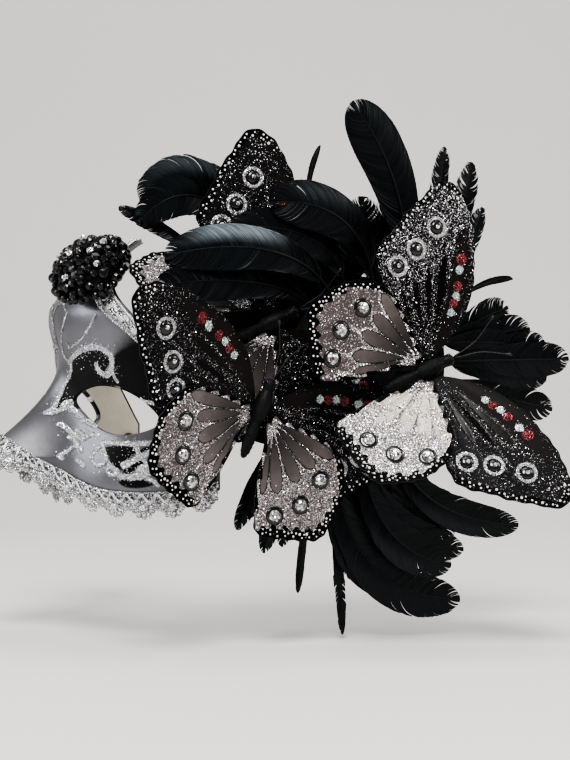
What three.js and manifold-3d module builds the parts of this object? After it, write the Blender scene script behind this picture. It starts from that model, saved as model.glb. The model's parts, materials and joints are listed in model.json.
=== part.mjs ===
// A Venetian masquerade mask: a half-face shell with a tall crest and a long nose, edged with
// metallic lace and braid, a beaded brooch on the crest, and a spray on the wearer's left side
// that carries three butterflies and a fan of black feathers on a stiff felt base.
//
// Millimetres. +Z is up, the nose points along -Y and +X is the wearer's left. The origin is on
// the outer face of the bridge of the nose, in the mask's plane of symmetry.
import * as THREE from "three";
import { mergeVertices } from "three/addons/utils/BufferGeometryUtils.js";
import Module from "manifold-3d";

const wasm = await Module();
wasm.setup();

// ---- driving dimensions -------------------------------------------------------------------
const GAP = 0.3; // between pieces that touch
const RAD = Math.PI / 180;

// Mask shell
const HALF_WIDTH = 74; // outer face, at the temples
const DEPTH = 82; // bridge of the nose to the widest section
const WALL = 2.4;
const CREST = 68; // top of the crest above the bridge
const SIDE_ANGLE = 78; // where the shell ends, round from the middle
const BROW = 24; // above this height the forehead leans back
const FOREHEAD_LEAN = 42; // the smaller, the faster it leans back
const NOSE_LENGTH = 44; // bridge to tip, measured down
const NOSE_REACH = 37; // how far the tip stands forward of the bridge
const NOSE_TOP_WIDTH = 9;
const NOSE_TIP_WIDTH = 15;
const BROW_BULGE = 4;
const CHEEK_BULGE = 4;
const SOCKET_DEPTH = 5;

// Eye openings, in degrees round from the middle and height
const EYE_ANGLE = 34.5;
const EYE_HEIGHT = -25.5;
const EYE_HALF_LENGTH = 21; // degrees
const EYE_HALF_OPEN = 12;
const EYE_SLANT = -0.27; // height lost per degree, towards the temple

// Edge trims
const LACE_DROP = 9; // how far the lace hangs below the shell's lower edge
const LACE_LAP = 4; // how far it laps onto the shell
const LACE_SCALLOP = 2; // depth of a scallop
const BRAID_WIDTH = 11;
const TRIM_THICKNESS = 1.5;
const TRIM_GAP = 0.8;

// Ribbon eyelets
const EYELET_ANGLE = 73;
const EYELET_HEIGHT = -46;
const EYELET_BORE = 2.2; // radius
const EYELET_BARREL = 3; // radius
const EYELET_FLANGE = 5; // radius
const EYELET_SHEET = 0.6; // flange thickness
const EYELET_CLEARANCE = 0.6; // flange to shell, which is curved

// Brooch
const BROOCH_ANGLE = 25;
const BROOCH_HEIGHT = 42;
const BROOCH_TURN = 12; // how far it faces round from the shell's own normal
const BROOCH_RADIUS = 21;
const BROOCH_SHEET = 1.4;
const BROOCH_STAND = 6; // plate off the shell, which is curved
const BROOCH_DOME = 13; // height of the padded dome that the beads are sewn to
const BEAD = 3.1; // bead radius
const BEAD_ROWS = [[0, 1], [6.8, 6], [13.4, 12], [19, 17]]; // radius of a row, beads in it

// Spray base, in height and distance back
const BASE_BACK = 123;
const BASE_HEIGHT = 0;
const BASE_HALF_LENGTH = 72;
const BASE_HALF_HEIGHT = 46;
const BASE_THICKNESS = 2.5;
const BASE_BOW = 5; // how far its back end curves in towards the head

// Pad on the base, that the quills run into
const PAD_BACK = 140;
const PAD_HEIGHT = 0;
const PAD_HALF_LENGTH = 40;
const PAD_HALF_HEIGHT = 33;
const PAD_THICKNESS = 9;

// Butterflies
const WING_SHEET = 0.8;
const WING_LAYER = 1.6; // hindwing above forewing
const WING_DROOP = 4; // at the forewing's tip
const WING_SIZE = 1; // times the outlines below
const THORAX = 4.2; // radius
const BODY_LENGTH = 44;
const HINGE_OUT = 1; // thorax to wing root
const STEM = 0.9; // radius
const ANTENNA = 0.45; // radius
const ANTENNA_LENGTH = 26;

// Feathers
const QUILL = 1; // radius
const BLADE_EDGE = 0.15; // half thickness near the tip
const SECTIONS = 9;

// ---- small helpers ------------------------------------------------------------------------
const V = (x, y, z) => new THREE.Vector3(x, y, z);
const clamp = (x, low, high) => Math.min(high, Math.max(low, x));
const smooth = (x) => x * x * (3 - 2 * x);

// A smooth curve through points [x, y], given in order of x.
function through(points, x) {
  const last = points.length - 1;
  const i = clamp(points.findIndex((p) => p[0] > x) - 1, 0, last - 1);
  const at = x >= points[last][0] ? last - 1 : i;
  const slope = (k) => {
    const a = points[Math.max(0, k - 1)];
    const b = points[Math.min(last, k + 1)];
    return (b[1] - a[1]) / (b[0] - a[0]);
  };
  const [p, q] = [points[at], points[at + 1]];
  const h = q[0] - p[0];
  const t = clamp((x - p[0]) / h, 0, 1);
  const rise = smooth(t);
  const bend = t * (1 - t) * ((1 - t) * slope(at) - t * slope(at + 1)) * h;
  return p[1] * (1 - rise) + q[1] * rise + bend;
}

function geometryFrom(points, faces) {
  const geometry = new THREE.BufferGeometry();
  const position = points.flatMap((p) => [p.x, p.y, p.z]);
  geometry.setAttribute("position", new THREE.Float32BufferAttribute(position, 3));
  geometry.setIndex(faces.flat());
  return geometry;
}

function manifoldFrom(geometry) {
  const bare = geometry.clone();
  bare.deleteAttribute("normal");
  bare.deleteAttribute("uv");
  const merged = mergeVertices(bare, 1e-4);
  return new wasm.Manifold(
    new wasm.Mesh({
      numProp: 3,
      vertProperties: merged.attributes.position.array,
      triVerts: new Uint32Array(merged.index.array),
    }),
  );
}

function geometryOf(manifold) {
  const mesh = manifold.getMesh();
  const geometry = new THREE.BufferGeometry();
  geometry.setAttribute("position", new THREE.BufferAttribute(mesh.vertProperties, 3));
  geometry.setIndex(new THREE.BufferAttribute(mesh.triVerts, 1));
  return geometry;
}

// A closed tube of sections that all have the same number of corners, counter-clockwise as
// seen from the first section's outside.
function loft(sections) {
  const n = sections[0].length;
  const faces = [];
  for (let s = 0; s + 1 < sections.length; s++) {
    for (let k = 0; k < n; k++) {
      const a = s * n + k;
      const b = s * n + ((k + 1) % n);
      faces.push([a, b, b + n], [a, b + n, a + n]);
    }
  }
  const end = (sections.length - 1) * n;
  for (let k = 1; k + 1 < n; k++) {
    faces.push([0, k + 1, k], [end, end + k, end + k + 1]);
  }
  return geometryFrom(sections.flat(), faces);
}

// A closed slab over a star-shaped outline. place(u, v, side) gives the point on face side,
// 1 for the top and -1 for the underside.
function slab(outline, centre, rings, place) {
  const points = [];
  const faces = [];
  const n = outline.length;
  const index = (side, ring, k) => (side > 0 ? 0 : 1 + rings * n) + 1 + (ring - 1) * n + (k % n);
  for (const side of [1, -1]) {
    points.push(place(centre[0], centre[1], side));
    for (let ring = 1; ring <= rings; ring++) {
      for (const [u, v] of outline) {
        const share = ring / rings;
        const x = centre[0] + (u - centre[0]) * share;
        points.push(place(x, centre[1] + (v - centre[1]) * share, side));
      }
    }
  }
  const quad = (side, a, b, c, d) => {
    const turn = (f) => (side > 0 ? f : [f[0], f[2], f[1]]);
    faces.push(turn([a, b, c]), turn([a, c, d]));
  };
  for (let k = 0; k < n; k++) {
    for (const side of [1, -1]) {
      const middle = side > 0 ? 0 : 1 + rings * n;
      const first = [middle, index(side, 1, k), index(side, 1, k + 1)];
      faces.push(side > 0 ? first : [first[0], first[2], first[1]]);
      for (let ring = 1; ring < rings; ring++) {
        quad(side, index(side, ring, k), index(side, ring + 1, k),
          index(side, ring + 1, k + 1), index(side, ring, k + 1));
      }
    }
    quad(1, index(1, rings, k), index(-1, rings, k),
      index(-1, rings, k + 1), index(1, rings, k + 1));
  }
  return geometryFrom(points, faces);
}

function facingOut(geometry) {
  const solid = manifoldFrom(geometry);
  if (solid.volume() > 0) return geometry;
  const index = geometry.index.array;
  for (let i = 0; i < index.length; i += 3) {
    [index[i + 1], index[i + 2]] = [index[i + 2], index[i + 1]];
  }
  return geometry;
}

const part = new THREE.Group();
const finishes = {
  silver_paint: [0x9c9da3, 0.38, 0.6],
  silver_lace: [0xc9cacc, 0.35, 0.9],
  black_metal: [0x1a1a1c, 0.4, 0.8],
  black_bead: [0x08080a, 0.12, 0.0],
  black_felt: [0x0c0c0d, 0.95, 0.0],
  forewing: [0x1b191b, 0.5, 0.1],
  hindwing: [0x8f8588, 0.4, 0.4],
  black_plush: [0x0d0d0e, 0.9, 0.0],
  black_wire: [0x141414, 0.5, 0.6],
  black_feather: [0x0a0d0f, 0.45, 0.0],
};
for (const [slot, [color, roughness, metalness]] of Object.entries(finishes)) {
  finishes[slot] = new THREE.MeshStandardMaterial({ color, roughness, metalness });
}

function add(name, geometry, finish) {
  const mesh = new THREE.Mesh(geometry, finishes[finish]);
  mesh.name = name;
  part.add(mesh);
  return mesh;
}

// ---- the mask's surface -------------------------------------------------------------------
// Angle is in degrees round from the middle, positive to the wearer's left.
const UPPER_EDGE = [[0, CREST], [20, 55], [32, 41], [46, 25], [57, 7], [68, -14], [SIDE_ANGLE, -36]];
const LOWER_EDGE = [[0, -43], [5, -46], [10, -52], [16, -60], [24, -66.5], [40, -71], [60, -71],
  [SIDE_ANGLE, -66]];
const upperEdge = (angle) => through(UPPER_EDGE, Math.abs(angle));
const lowerEdge = (angle) => through(LOWER_EDGE, Math.abs(angle));

function maskPoint(angle, z) {
  const turn = angle * RAD;
  const above = Math.max(0, z - BROW);
  const halfWidth = HALF_WIDTH - (above * above) / 300;
  const x = halfWidth * Math.sin(turn);
  const down = clamp(-z / NOSE_LENGTH, 0, 1.15);
  const noseWidth = NOSE_TOP_WIDTH + (NOSE_TIP_WIDTH - NOSE_TOP_WIDTH) * down;
  const nose = NOSE_REACH * down ** 1.5 * Math.exp(-((x / noseWidth) ** 2));
  const across = (Math.abs(angle) - EYE_ANGLE) / 24;
  const socket = SOCKET_DEPTH * Math.exp(-across * across - ((z - EYE_HEIGHT - 4) / 17) ** 2);
  const cheek = CHEEK_BULGE * Math.exp(-(((Math.abs(angle) - 38) / 20) ** 2) - ((z + 62) / 16) ** 2);
  const lean = ((above * above) / FOREHEAD_LEAN) * Math.cos(turn);
  const brow = BROW_BULGE * Math.exp(-(((z - BROW) / 16) ** 2)) * Math.cos(turn);
  const y = DEPTH * (1 - Math.cos(turn)) + lean - brow - nose + socket - cheek;
  return V(x, y, z);
}

function maskNormal(angle, z) {
  const step = 0.5;
  const across = maskPoint(angle + step, z).sub(maskPoint(angle - step, z));
  const up = maskPoint(angle, z + step).sub(maskPoint(angle, z - step));
  return across.cross(up).normalize();
}

const offMask = (angle, z, out) => maskPoint(angle, z).addScaledVector(maskNormal(angle, z), out);

const COLUMNS = 44;
const ROWS = 14;
// Columns stand closer together over the nose, where the surface turns fastest.
function columnAngle(share) {
  const s = 2 * share - 1;
  return SIDE_ANGLE * (0.62 * s + 0.38 * s ** 3);
}

function maskShell() {
  const points = [];
  for (const depth of [0, -WALL]) {
    for (let i = 0; i <= COLUMNS; i++) {
      const angle = columnAngle(i / COLUMNS);
      for (let j = 0; j <= ROWS; j++) {
        const z = lowerEdge(angle) + (upperEdge(angle) - lowerEdge(angle)) * (j / ROWS);
        points.push(offMask(angle, z, depth));
      }
    }
  }
  const inner = (COLUMNS + 1) * (ROWS + 1);
  const at = (i, j, side) => side * inner + i * (ROWS + 1) + j;
  const faces = [];
  const quad = (a, b, c, d) => faces.push([a, b, c], [a, c, d]);
  for (let i = 0; i < COLUMNS; i++) {
    for (let j = 0; j < ROWS; j++) {
      quad(at(i, j, 0), at(i + 1, j, 0), at(i + 1, j + 1, 0), at(i, j + 1, 0));
      quad(at(i, j, 1), at(i, j + 1, 1), at(i + 1, j + 1, 1), at(i + 1, j, 1));
    }
    quad(at(i, 0, 0), at(i, 0, 1), at(i + 1, 0, 1), at(i + 1, 0, 0));
    quad(at(i, ROWS, 0), at(i + 1, ROWS, 0), at(i + 1, ROWS, 1), at(i, ROWS, 1));
  }
  for (let j = 0; j < ROWS; j++) {
    quad(at(0, j, 0), at(0, j + 1, 0), at(0, j + 1, 1), at(0, j, 1));
    quad(at(COLUMNS, j, 0), at(COLUMNS, j, 1), at(COLUMNS, j + 1, 1), at(COLUMNS, j + 1, 0));
  }
  let shell = manifoldFrom(facingOut(geometryFrom(points, faces)));
  for (const side of [1, -1]) {
    shell = shell.subtract(eyeCutter(side)).subtract(eyeletHole(side));
  }
  return geometryOf(shell);
}

// The eye opening is an almond, drawn on the shell and swept through it along its normals.
function eyeCutter(side) {
  const corners = 24;
  const reach = 9;
  const outline = [];
  for (let k = 0; k < corners; k++) {
    const turn = (2 * Math.PI * k) / corners;
    const along = Math.cos(turn);
    const open = Math.sin(turn) * (1 - 0.35 * along * along);
    const angle = EYE_ANGLE + EYE_HALF_LENGTH * along;
    const z = EYE_HEIGHT + EYE_HALF_OPEN * open + EYE_SLANT * EYE_HALF_LENGTH * along;
    outline.push([side * angle, z]);
  }
  const rings = [-reach, reach].map((out) => outline.map(([a, z]) => offMask(a, z, out)));
  return manifoldFrom(facingOut(loft(rings)));
}

// ---- trims --------------------------------------------------------------------------------
// A flat band that lies on the shell. rows gives [angle, inner height, outer height, hang].
function band(rows) {
  const sections = rows.map(([angle, onShell, edge, beyond]) => {
    const n = maskNormal(angle, edge);
    const lip = maskPoint(angle, edge);
    const away = lip.clone().sub(maskPoint(angle, onShell)).normalize();
    const inside = offMask(angle, onShell, TRIM_GAP);
    const past = lip.addScaledVector(n, TRIM_GAP).addScaledVector(away, beyond);
    const [top, low] = [inside.clone(), past.clone()].map((p, i) =>
      p.addScaledVector(i ? n : maskNormal(angle, onShell), TRIM_THICKNESS));
    return [inside, past, low, top];
  });
  return facingOut(loft(sections));
}

function lowerLace() {
  const rows = [];
  for (let i = 0; i <= COLUMNS; i++) {
    const angle = columnAngle(i / COLUMNS);
    const edge = lowerEdge(angle);
    const scallop = i % 2 ? LACE_SCALLOP : 0;
    rows.push([angle, edge + LACE_LAP, edge, LACE_DROP - scallop]);
  }
  return band(rows);
}

function upperBraid(side) {
  const rows = [];
  const first = COLUMNS / 2 + 1;
  for (let i = first; i <= COLUMNS; i++) {
    const angle = columnAngle(i / COLUMNS);
    const edge = upperEdge(angle);
    rows.push([side * angle, edge - BRAID_WIDTH, edge, TRIM_THICKNESS]);
  }
  return band(rows);
}

// ---- ribbon eyelets -----------------------------------------------------------------------
function along(direction) {
  return new THREE.Quaternion().setFromUnitVectors(V(0, 1, 0), direction);
}

function eyeletHole(side) {
  const hole = new THREE.CylinderGeometry(EYELET_BARREL + GAP, EYELET_BARREL + GAP, 20, 16);
  const n = maskNormal(side * EYELET_ANGLE, EYELET_HEIGHT);
  hole.applyQuaternion(along(n));
  const p = maskPoint(side * EYELET_ANGLE, EYELET_HEIGHT);
  return manifoldFrom(hole.translate(p.x, p.y, p.z));
}

function eyelet(side) {
  const [bore, barrel, flange] = [EYELET_BORE, EYELET_BARREL, EYELET_FLANGE];
  const face = EYELET_CLEARANCE;
  const back = -WALL - EYELET_CLEARANCE;
  const profile = [[bore, back - EYELET_SHEET], [flange, back - EYELET_SHEET], [flange, back],
    [barrel, back], [barrel, face], [flange, face], [flange, face + EYELET_SHEET],
    [bore, face + EYELET_SHEET], [bore, back - EYELET_SHEET]];
  const ring = new THREE.LatheGeometry(profile.map(([r, y]) => new THREE.Vector2(r, y)), 16);
  const n = maskNormal(side * EYELET_ANGLE, EYELET_HEIGHT);
  ring.applyQuaternion(along(n));
  const p = maskPoint(side * EYELET_ANGLE, EYELET_HEIGHT);
  return facingOut(geometryOf(manifoldFrom(ring.translate(p.x, p.y, p.z))));
}

// ---- brooch -------------------------------------------------------------------------------
function broochFrame() {
  const n = maskNormal(BROOCH_ANGLE, BROOCH_HEIGHT).applyAxisAngle(V(0, 0, 1), BROOCH_TURN * RAD);
  const across = V(1, 0, 0).addScaledVector(n, -n.x).normalize();
  const up = n.clone().cross(across);
  const centre = offMask(BROOCH_ANGLE, BROOCH_HEIGHT, BROOCH_STAND);
  return new THREE.Matrix4().makeBasis(across, up, n).setPosition(centre);
}

function broochPlate(frame) {
  const disc = new THREE.CylinderGeometry(BROOCH_RADIUS, BROOCH_RADIUS, BROOCH_SHEET, 24);
  disc.rotateX(Math.PI / 2).translate(0, 0, BROOCH_SHEET / 2);
  return disc.applyMatrix4(frame);
}

const domeHeight = (r) => BROOCH_DOME * Math.sqrt(1 - (r / (BROOCH_RADIUS + 1)) ** 2);

function broochBeads(frame) {
  const foot = BROOCH_SHEET + GAP;
  const rim = BROOCH_RADIUS - 1.5;
  const profile = [[0, foot], [rim, foot], [rim, foot + domeHeight(rim)]];
  for (const r of [rim * 0.7, rim * 0.4]) profile.push([r, foot + domeHeight(r)]);
  profile.push([0, foot + domeHeight(0)]);
  const dome = new THREE.LatheGeometry(profile.map(([r, z]) => new THREE.Vector2(r, z)), 16);
  let beads = manifoldFrom(dome.rotateX(Math.PI / 2));
  for (const [radius, count] of BEAD_ROWS) {
    for (let k = 0; k < count; k++) {
      const turn = (2 * Math.PI * (k + radius / 9)) / count;
      const bead = new THREE.IcosahedronGeometry(BEAD, 0).rotateZ(turn);
      const z = foot + domeHeight(radius) + BEAD * 0.45;
      bead.translate(radius * Math.cos(turn), radius * Math.sin(turn), z);
      beads = beads.add(manifoldFrom(bead));
    }
  }
  return geometryOf(beads).applyMatrix4(frame);
}

function brooch() {
  const frame = broochFrame();
  add("brooch_plate", broochPlate(frame), "black_metal");
  add("brooch_beads", broochBeads(frame), "black_bead");
}

// ---- the spray's base ---------------------------------------------------------------------
const BASE_INNER = HALF_WIDTH + TRIM_GAP + TRIM_THICKNESS + GAP + 0.2;
const BASE_FACE = BASE_INNER + BASE_THICKNESS;

function baseBow(y) {
  const share = (y - BASE_BACK) / BASE_HALF_LENGTH;
  return BASE_BOW * Math.max(0, share) ** 2;
}

// A point of the spray: distance back, height, and distance out from the base's face.
const spray = (y, z, out) => V(BASE_FACE + out, y, z);

// A rounded rectangle, by the turn round it.
function rounded(turn, back, height, halfLength, halfHeight) {
  const square = (x) => Math.sign(x) * Math.abs(x) ** 0.8;
  const y = back + halfLength * square(Math.cos(turn));
  return [y, height + halfHeight * square(Math.sin(turn))];
}

function roundedOutline(corners, ...shape) {
  return Array.from({ length: corners }, (_, k) => rounded((2 * Math.PI * k) / corners, ...shape));
}

function sprayBase() {
  const shape = [BASE_BACK, BASE_HEIGHT, BASE_HALF_LENGTH, BASE_HALF_HEIGHT];
  return facingOut(slab(roundedOutline(24, ...shape), shape, 3, (y, z, side) =>
    V((side > 0 ? BASE_FACE : BASE_INNER) - baseBow(y), y, z)));
}

const PAD_SHAPE = [PAD_BACK, PAD_HEIGHT, PAD_HALF_LENGTH, PAD_HALF_HEIGHT];

function featherPad() {
  return facingOut(slab(roundedOutline(24, ...PAD_SHAPE), PAD_SHAPE, 2, (y, z, side) =>
    spray(y, z, side > 0 ? PAD_THICKNESS : GAP - baseBow(y))));
}

// ---- feathers -----------------------------------------------------------------------------
// Each is a cupped blade on a curved quill that starts at the pad's edge. from is the place on
// that edge, as degrees round it and distance out from the base's face. via and tip are the
// quill curve's other two control points: distance back, height and distance out.
const FEATHERS = {
  plume_upright: { from: [52, 6], via: [168, 96, 12], tip: [135, 136, 4], width: 37 },
  plume_curl: { from: [140, 3], via: [60, 120, 2], tip: [22, 80, -2], width: 34 },
  wisp_front: { from: [154, 2.5], via: [48, 62, -1], tip: [11, 77, -4], width: 11, bare: 0.45 },
  sweep_front: { from: [108, 6.5], via: [84, 66, 52], tip: [22, 50, 36], width: 30 },
  sweep_low: { from: [126, 4], via: [76, 46, 38], tip: [16, 35, 38], width: 26 },
  sweep_upper: { from: [84, 7], via: [130, 84, 36], tip: [80, 79, 27], width: 33 },
  sweep_middle: { from: [98, 4], via: [116, 72, 34], tip: [60, 66, 22], width: 27 },
  mass_front: { from: [104, 1.5], via: [122, 56, 2], tip: [106, 84, 1], width: 34 },
  mass_back: { from: [70, 3], via: [150, 56, 4], tip: [158, 84, 0], width: 34 },
  spike_front: { from: [42, 3], via: [184, 70, 5], tip: [192, 116, 0], width: 14 },
  spike_back: { from: [33, 2], via: [200, 66, 2], tip: [210, 109, -3], width: 19 },
  spike_low: { from: [26, 5], via: [200, 52, 6], tip: [214, 84, 2], width: 15 },
  quill_back: { from: [20, 2], via: [206, 46, 2], tip: [234, 46, 0], width: 5, bare: 0.4 },
  back_upper: { from: [12, 6], via: [208, 16, 12], tip: [240, 18, 8], width: 26 },
  back_middle: { from: [0, 7], via: [222, 1, 16], tip: [262, 2, 12], width: 26 },
  back_lower: { from: [-12, 3], via: [220, -18, 6], tip: [257, -26, 3], width: 25 },
  tail_long: { from: [-72, 6], via: [162, -84, 11], tip: [230, -88, 13], width: 25 },
  tail_crescent: { from: [-106, 3], via: [122, -124, 6], tip: [197, -127, 8], width: 34 },
  tail_inner: { from: [-90, 7], via: [136, -98, 13], tip: [188, -108, 15], width: 29 },
  tail_fill: { from: [-60, 1.5], via: [160, -74, 3], tip: [182, -106, 1], width: 30 },
  tail_under: { from: [-84, 1.5], via: [146, -74, -1], tip: [152, -114, -4], width: 26 },
  tail_point: { from: [-117, 1.5], via: [130, -92, 0], tip: [133, -144, -3], width: 8 },
  small_front: { from: [-146, 2], via: [86, -54, 5], tip: [71, -86, 4], width: 14 },
  small_middle: { from: [-137, 6], via: [94, -60, 9], tip: [84, -98, 8], width: 15 },
  small_back: { from: [-129, 2], via: [101, -62, 3], tip: [97, -96, 1], width: 14 },
  small_point: { from: [-123, 6], via: [108, -78, 7], tip: [105, -120, 3], width: 6, bare: 0.4 },
  thin_top: { from: [116, 4], via: [102, 84, 4], tip: [119, 113, 0], width: 4, bare: 0.5 },
};

// The blade's half width along the quill, as a share of its widest.
function bladeShare(t, bare) {
  const s = clamp((t - bare) / (1 - bare), 0, 1);
  return 1.09 * s ** 0.6 * Math.sqrt(1 - s ** 4);
}

function feather({ from: [degrees, out], via, tip, width, bare = 0.14 }) {
  const [y, z] = rounded(degrees * RAD, ...PAD_SHAPE);
  const root = spray(y, z, out - baseBow(y) * (1 - out / PAD_THICKNESS));
  const towards = spray(...via).sub(root).normalize();
  root.addScaledVector(towards, QUILL + GAP);
  const curve = new THREE.QuadraticBezierCurve3(root, spray(...via), spray(...tip));
  const sections = [];
  for (let i = 0; i < SECTIONS; i++) {
    const t = i / (SECTIONS - 1);
    const centre = curve.getPoint(t);
    const tangent = curve.getTangent(t);
    const out = V(1, 0, 0).addScaledVector(tangent, -tangent.x).normalize();
    const side = tangent.clone().cross(out);
    const end = i === SECTIONS - 1 ? 0.3 : 0;
    const half = Math.max(QUILL, (width / 2) * Math.max(end, bladeShare(t, bare)));
    const thick = QUILL + (BLADE_EDGE - QUILL) * t;
    const cup = -0.12 * half * smooth(t);
    sections.push([
      centre.clone().addScaledVector(out, thick),
      centre.clone().addScaledVector(side, half).addScaledVector(out, cup),
      centre.clone().addScaledVector(out, -thick),
      centre.clone().addScaledVector(side, -half).addScaledVector(out, cup),
    ]);
  }
  return facingOut(loft(sections));
}

// ---- butterflies --------------------------------------------------------------------------
// Wing outlines for one side: x away from the body, y towards the head, from the thorax.
const FOREWING = [[0, -3], [0, 4], [6, 15], [14, 25], [28, 34.5], [42, 40], [55, 43],
  [70, 43.5], [79, 41.5], [87, 35], [86, 27], [81, 19], [76, 8], [69, 0], [64, -9], [58, -14.5],
  [46, -14.5], [34, -12.5], [18, -8.5]];
const HINDWING = [[0, -3], [13, -3], [28, -5], [41, -9.5], [48, -18], [51, -31], [49.5, -42],
  [44.5, -55], [36, -58], [28, -59.5], [18, -61.5], [9, -60], [5, -50], [2.5, -36], [1, -18]];
const WING_REACH = 87;
const FOREWING_MIDDLE = [44, 12];
const HINDWING_MIDDLE = [25, -30];

// at: thorax, as distance back, height and distance out. head: the way the head points, and
// face: the way the back of the insect faces. stem: where its wire starts, measured from the
// thorax towards the tail, and where it lands. For each side, fore and hind give the degrees
// that a wing is lifted off the flat, swept towards the head, and twisted on its own axis, and
// how far it stands away from its hinge.
const BUTTERFLIES = {
  butterfly_1: {
    at: [76, -23, 26], head: [0, 0.371, 0.928], face: [1, 0.06, -0.04],
    stem: { behind: 24, foot: [76, -36] },
    left: { fore: [19, -8, 0], hind: [19, 5, 0] },
    right: { fore: [0, -12, 0], hind: [3, 5, 0] },
  },
  butterfly_2: {
    at: [164, -4, 37], head: [0, 0.924, 0.383], face: [1, -0.08, 0.176],
    stem: { behind: 1, foot: [160, -6] },
    left: { fore: [12, 9, 0], hind: [12, 4, 0] },
    right: { fore: [24, -9, 0], hind: [24, -7, 0] },
  },
  butterfly_3: {
    at: [86, 20, 17], head: [0, 0.914, 0.407], face: [1, 0, 0],
    stem: { behind: 1, foot: [84, 18] },
    left: { fore: [-1, -2, 0], hind: [2, -1, -50, 7] },
    right: { fore: [0, 0, 0], hind: [0, -13, 0] },
  },
};

// The frame of one butterfly: x to its right, y to its head, z off its back.
function butterflyFrame({ at, head, face }) {
  const y = V(...head).normalize();
  const z = V(...face).addScaledVector(y, -V(...face).dot(y)).normalize();
  return new THREE.Matrix4().makeBasis(y.clone().cross(z), y, z).setPosition(spray(...at));
}

// A side's wings hinge on a line beside the thorax. side is 1 on the right and -1 on the left.
function wing(outline, middle, insect, side, layer, [lift, sweep, twist, away = 0]) {
  const hinge = new THREE.Matrix4().makeTranslation(side * (THORAX + HINGE_OUT), 0, 0);
  const axis = V(side * middle[0], middle[1], 0).normalize();
  const place = butterflyFrame(insect)
    .multiply(hinge)
    .multiply(new THREE.Matrix4().makeRotationY(-side * lift * RAD))
    .multiply(new THREE.Matrix4().makeRotationZ(side * sweep * RAD))
    .multiply(new THREE.Matrix4().makeRotationAxis(axis, side * twist * RAD))
    .multiply(new THREE.Matrix4().setPosition(axis.clone().multiplyScalar(away)));
  return facingOut(slab(outline, middle, 2, (x, y, face) => {
    const droop = WING_DROOP * (x / WING_REACH) ** 2;
    const height = layer - droop + (face * WING_SHEET) / 2;
    return V(side * x * WING_SIZE, y * WING_SIZE, height).applyMatrix4(place);
  }));
}

const TAIL = -BODY_LENGTH * 0.62;
const BODY_PROFILE = [[TAIL, 0], [TAIL + 1.5, 1.4], [TAIL * 0.6, 2.5], [TAIL * 0.3, 2.3],
  [-7, 3.2], [-2, THORAX], [4, THORAX], [8.5, 3], [9.5, 2.9], [12, 3.1], [14.4, 1.8], [15, 0]];

function butterflyBody(frame) {
  const profile = BODY_PROFILE.map(([y, r]) => new THREE.Vector2(r, y));
  const body = new THREE.LatheGeometry(profile, 12);
  return facingOut(geometryOf(manifoldFrom(body)).applyMatrix4(frame));
}

// The two antennae are one bent wire, tied under the head.
function antennae(frame) {
  const spread = 0.42;
  const [low, out] = [1.2, 14.5 + GAP + ANTENNA + 0.4];
  const reach = ANTENNA_LENGTH;
  const tip = (side) => V(side * reach * spread, out + reach, low + 7);
  const bend = (side) => V(side * reach * spread * 0.3, out + reach * 0.5, low + 3);
  const curve = new THREE.CatmullRomCurve3([tip(-1), bend(-1), V(0, out, low), bend(1), tip(1)]);
  const steps = 16;
  const sections = [];
  for (let i = 0; i <= steps; i++) {
    const t = i / steps;
    const centre = curve.getPoint(t);
    const tangent = curve.getTangent(t);
    const up = V(0, 0, 1).addScaledVector(tangent, -tangent.z).normalize();
    const side = tangent.clone().cross(up);
    const club = Math.abs(2 * t - 1) > 0.9 ? 1.6 : 1;
    const corners = [];
    for (let k = 0; k < 6; k++) {
      const turn = (k * Math.PI) / 3;
      const r = ANTENNA * club;
      corners.push(centre.clone().addScaledVector(side, r * Math.cos(turn))
        .addScaledVector(up, r * Math.sin(turn)));
    }
    sections.push(corners);
  }
  return facingOut(loft(sections).applyMatrix4(frame));
}

// A wire from the body's underside to the base's face, or to the pad's.
function stem(insect) {
  const { behind, foot: [y, z] } = insect.stem;
  const drop = through(BODY_PROFILE, -behind) + GAP + 0.3;
  const top = V(0, -behind, -drop).applyMatrix4(butterflyFrame(insect));
  const onPad = Math.hypot((y - PAD_BACK) / PAD_HALF_LENGTH, (z - PAD_HEIGHT) / PAD_HALF_HEIGHT) < 1;
  const foot = spray(y, z, GAP + 0.3 + (onPad ? PAD_THICKNESS : -baseBow(y)));
  const wire = new THREE.CylinderGeometry(STEM, STEM, top.distanceTo(foot), 10);
  const middle = top.clone().add(foot).multiplyScalar(0.5);
  wire.applyQuaternion(along(top.clone().sub(foot).normalize()));
  return wire.translate(middle.x, middle.y, middle.z);
}

function butterfly(name, insect) {
  const frame = butterflyFrame(insect);
  add(name + "_body", butterflyBody(frame), "black_plush");
  add(name + "_antennae", antennae(frame), "black_wire");
  add(name + "_stem", stem(insect), "black_wire");
  for (const [label, side] of [["left", -1], ["right", 1]]) {
    const { fore, hind } = insect[label];
    const upper = wing(FOREWING, FOREWING_MIDDLE, insect, side, 0, fore);
    const lower = wing(HINDWING, HINDWING_MIDDLE, insect, side, WING_LAYER, hind);
    add(name + "_forewing_" + label, upper, "forewing");
    add(name + "_hindwing_" + label, lower, "hindwing");
  }
}

// ---- assembly -----------------------------------------------------------------------------
add("mask_shell", maskShell(), "silver_paint");
add("lower_lace", lowerLace(), "silver_lace");
add("upper_braid_left", upperBraid(1), "silver_lace");
add("upper_braid_right", upperBraid(-1), "silver_lace");
add("ribbon_eyelet_left", eyelet(1), "black_metal");
add("ribbon_eyelet_right", eyelet(-1), "black_metal");
brooch();
add("spray_base", sprayBase(), "black_felt");
add("feather_pad", featherPad(), "black_felt");
for (const [name, shape] of Object.entries(FEATHERS)) {
  add("feather_" + name, feather(shape), "black_feather");
}
for (const [name, insect] of Object.entries(BUTTERFLIES)) {
  butterfly(name, insect);
}

export default part;
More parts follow.
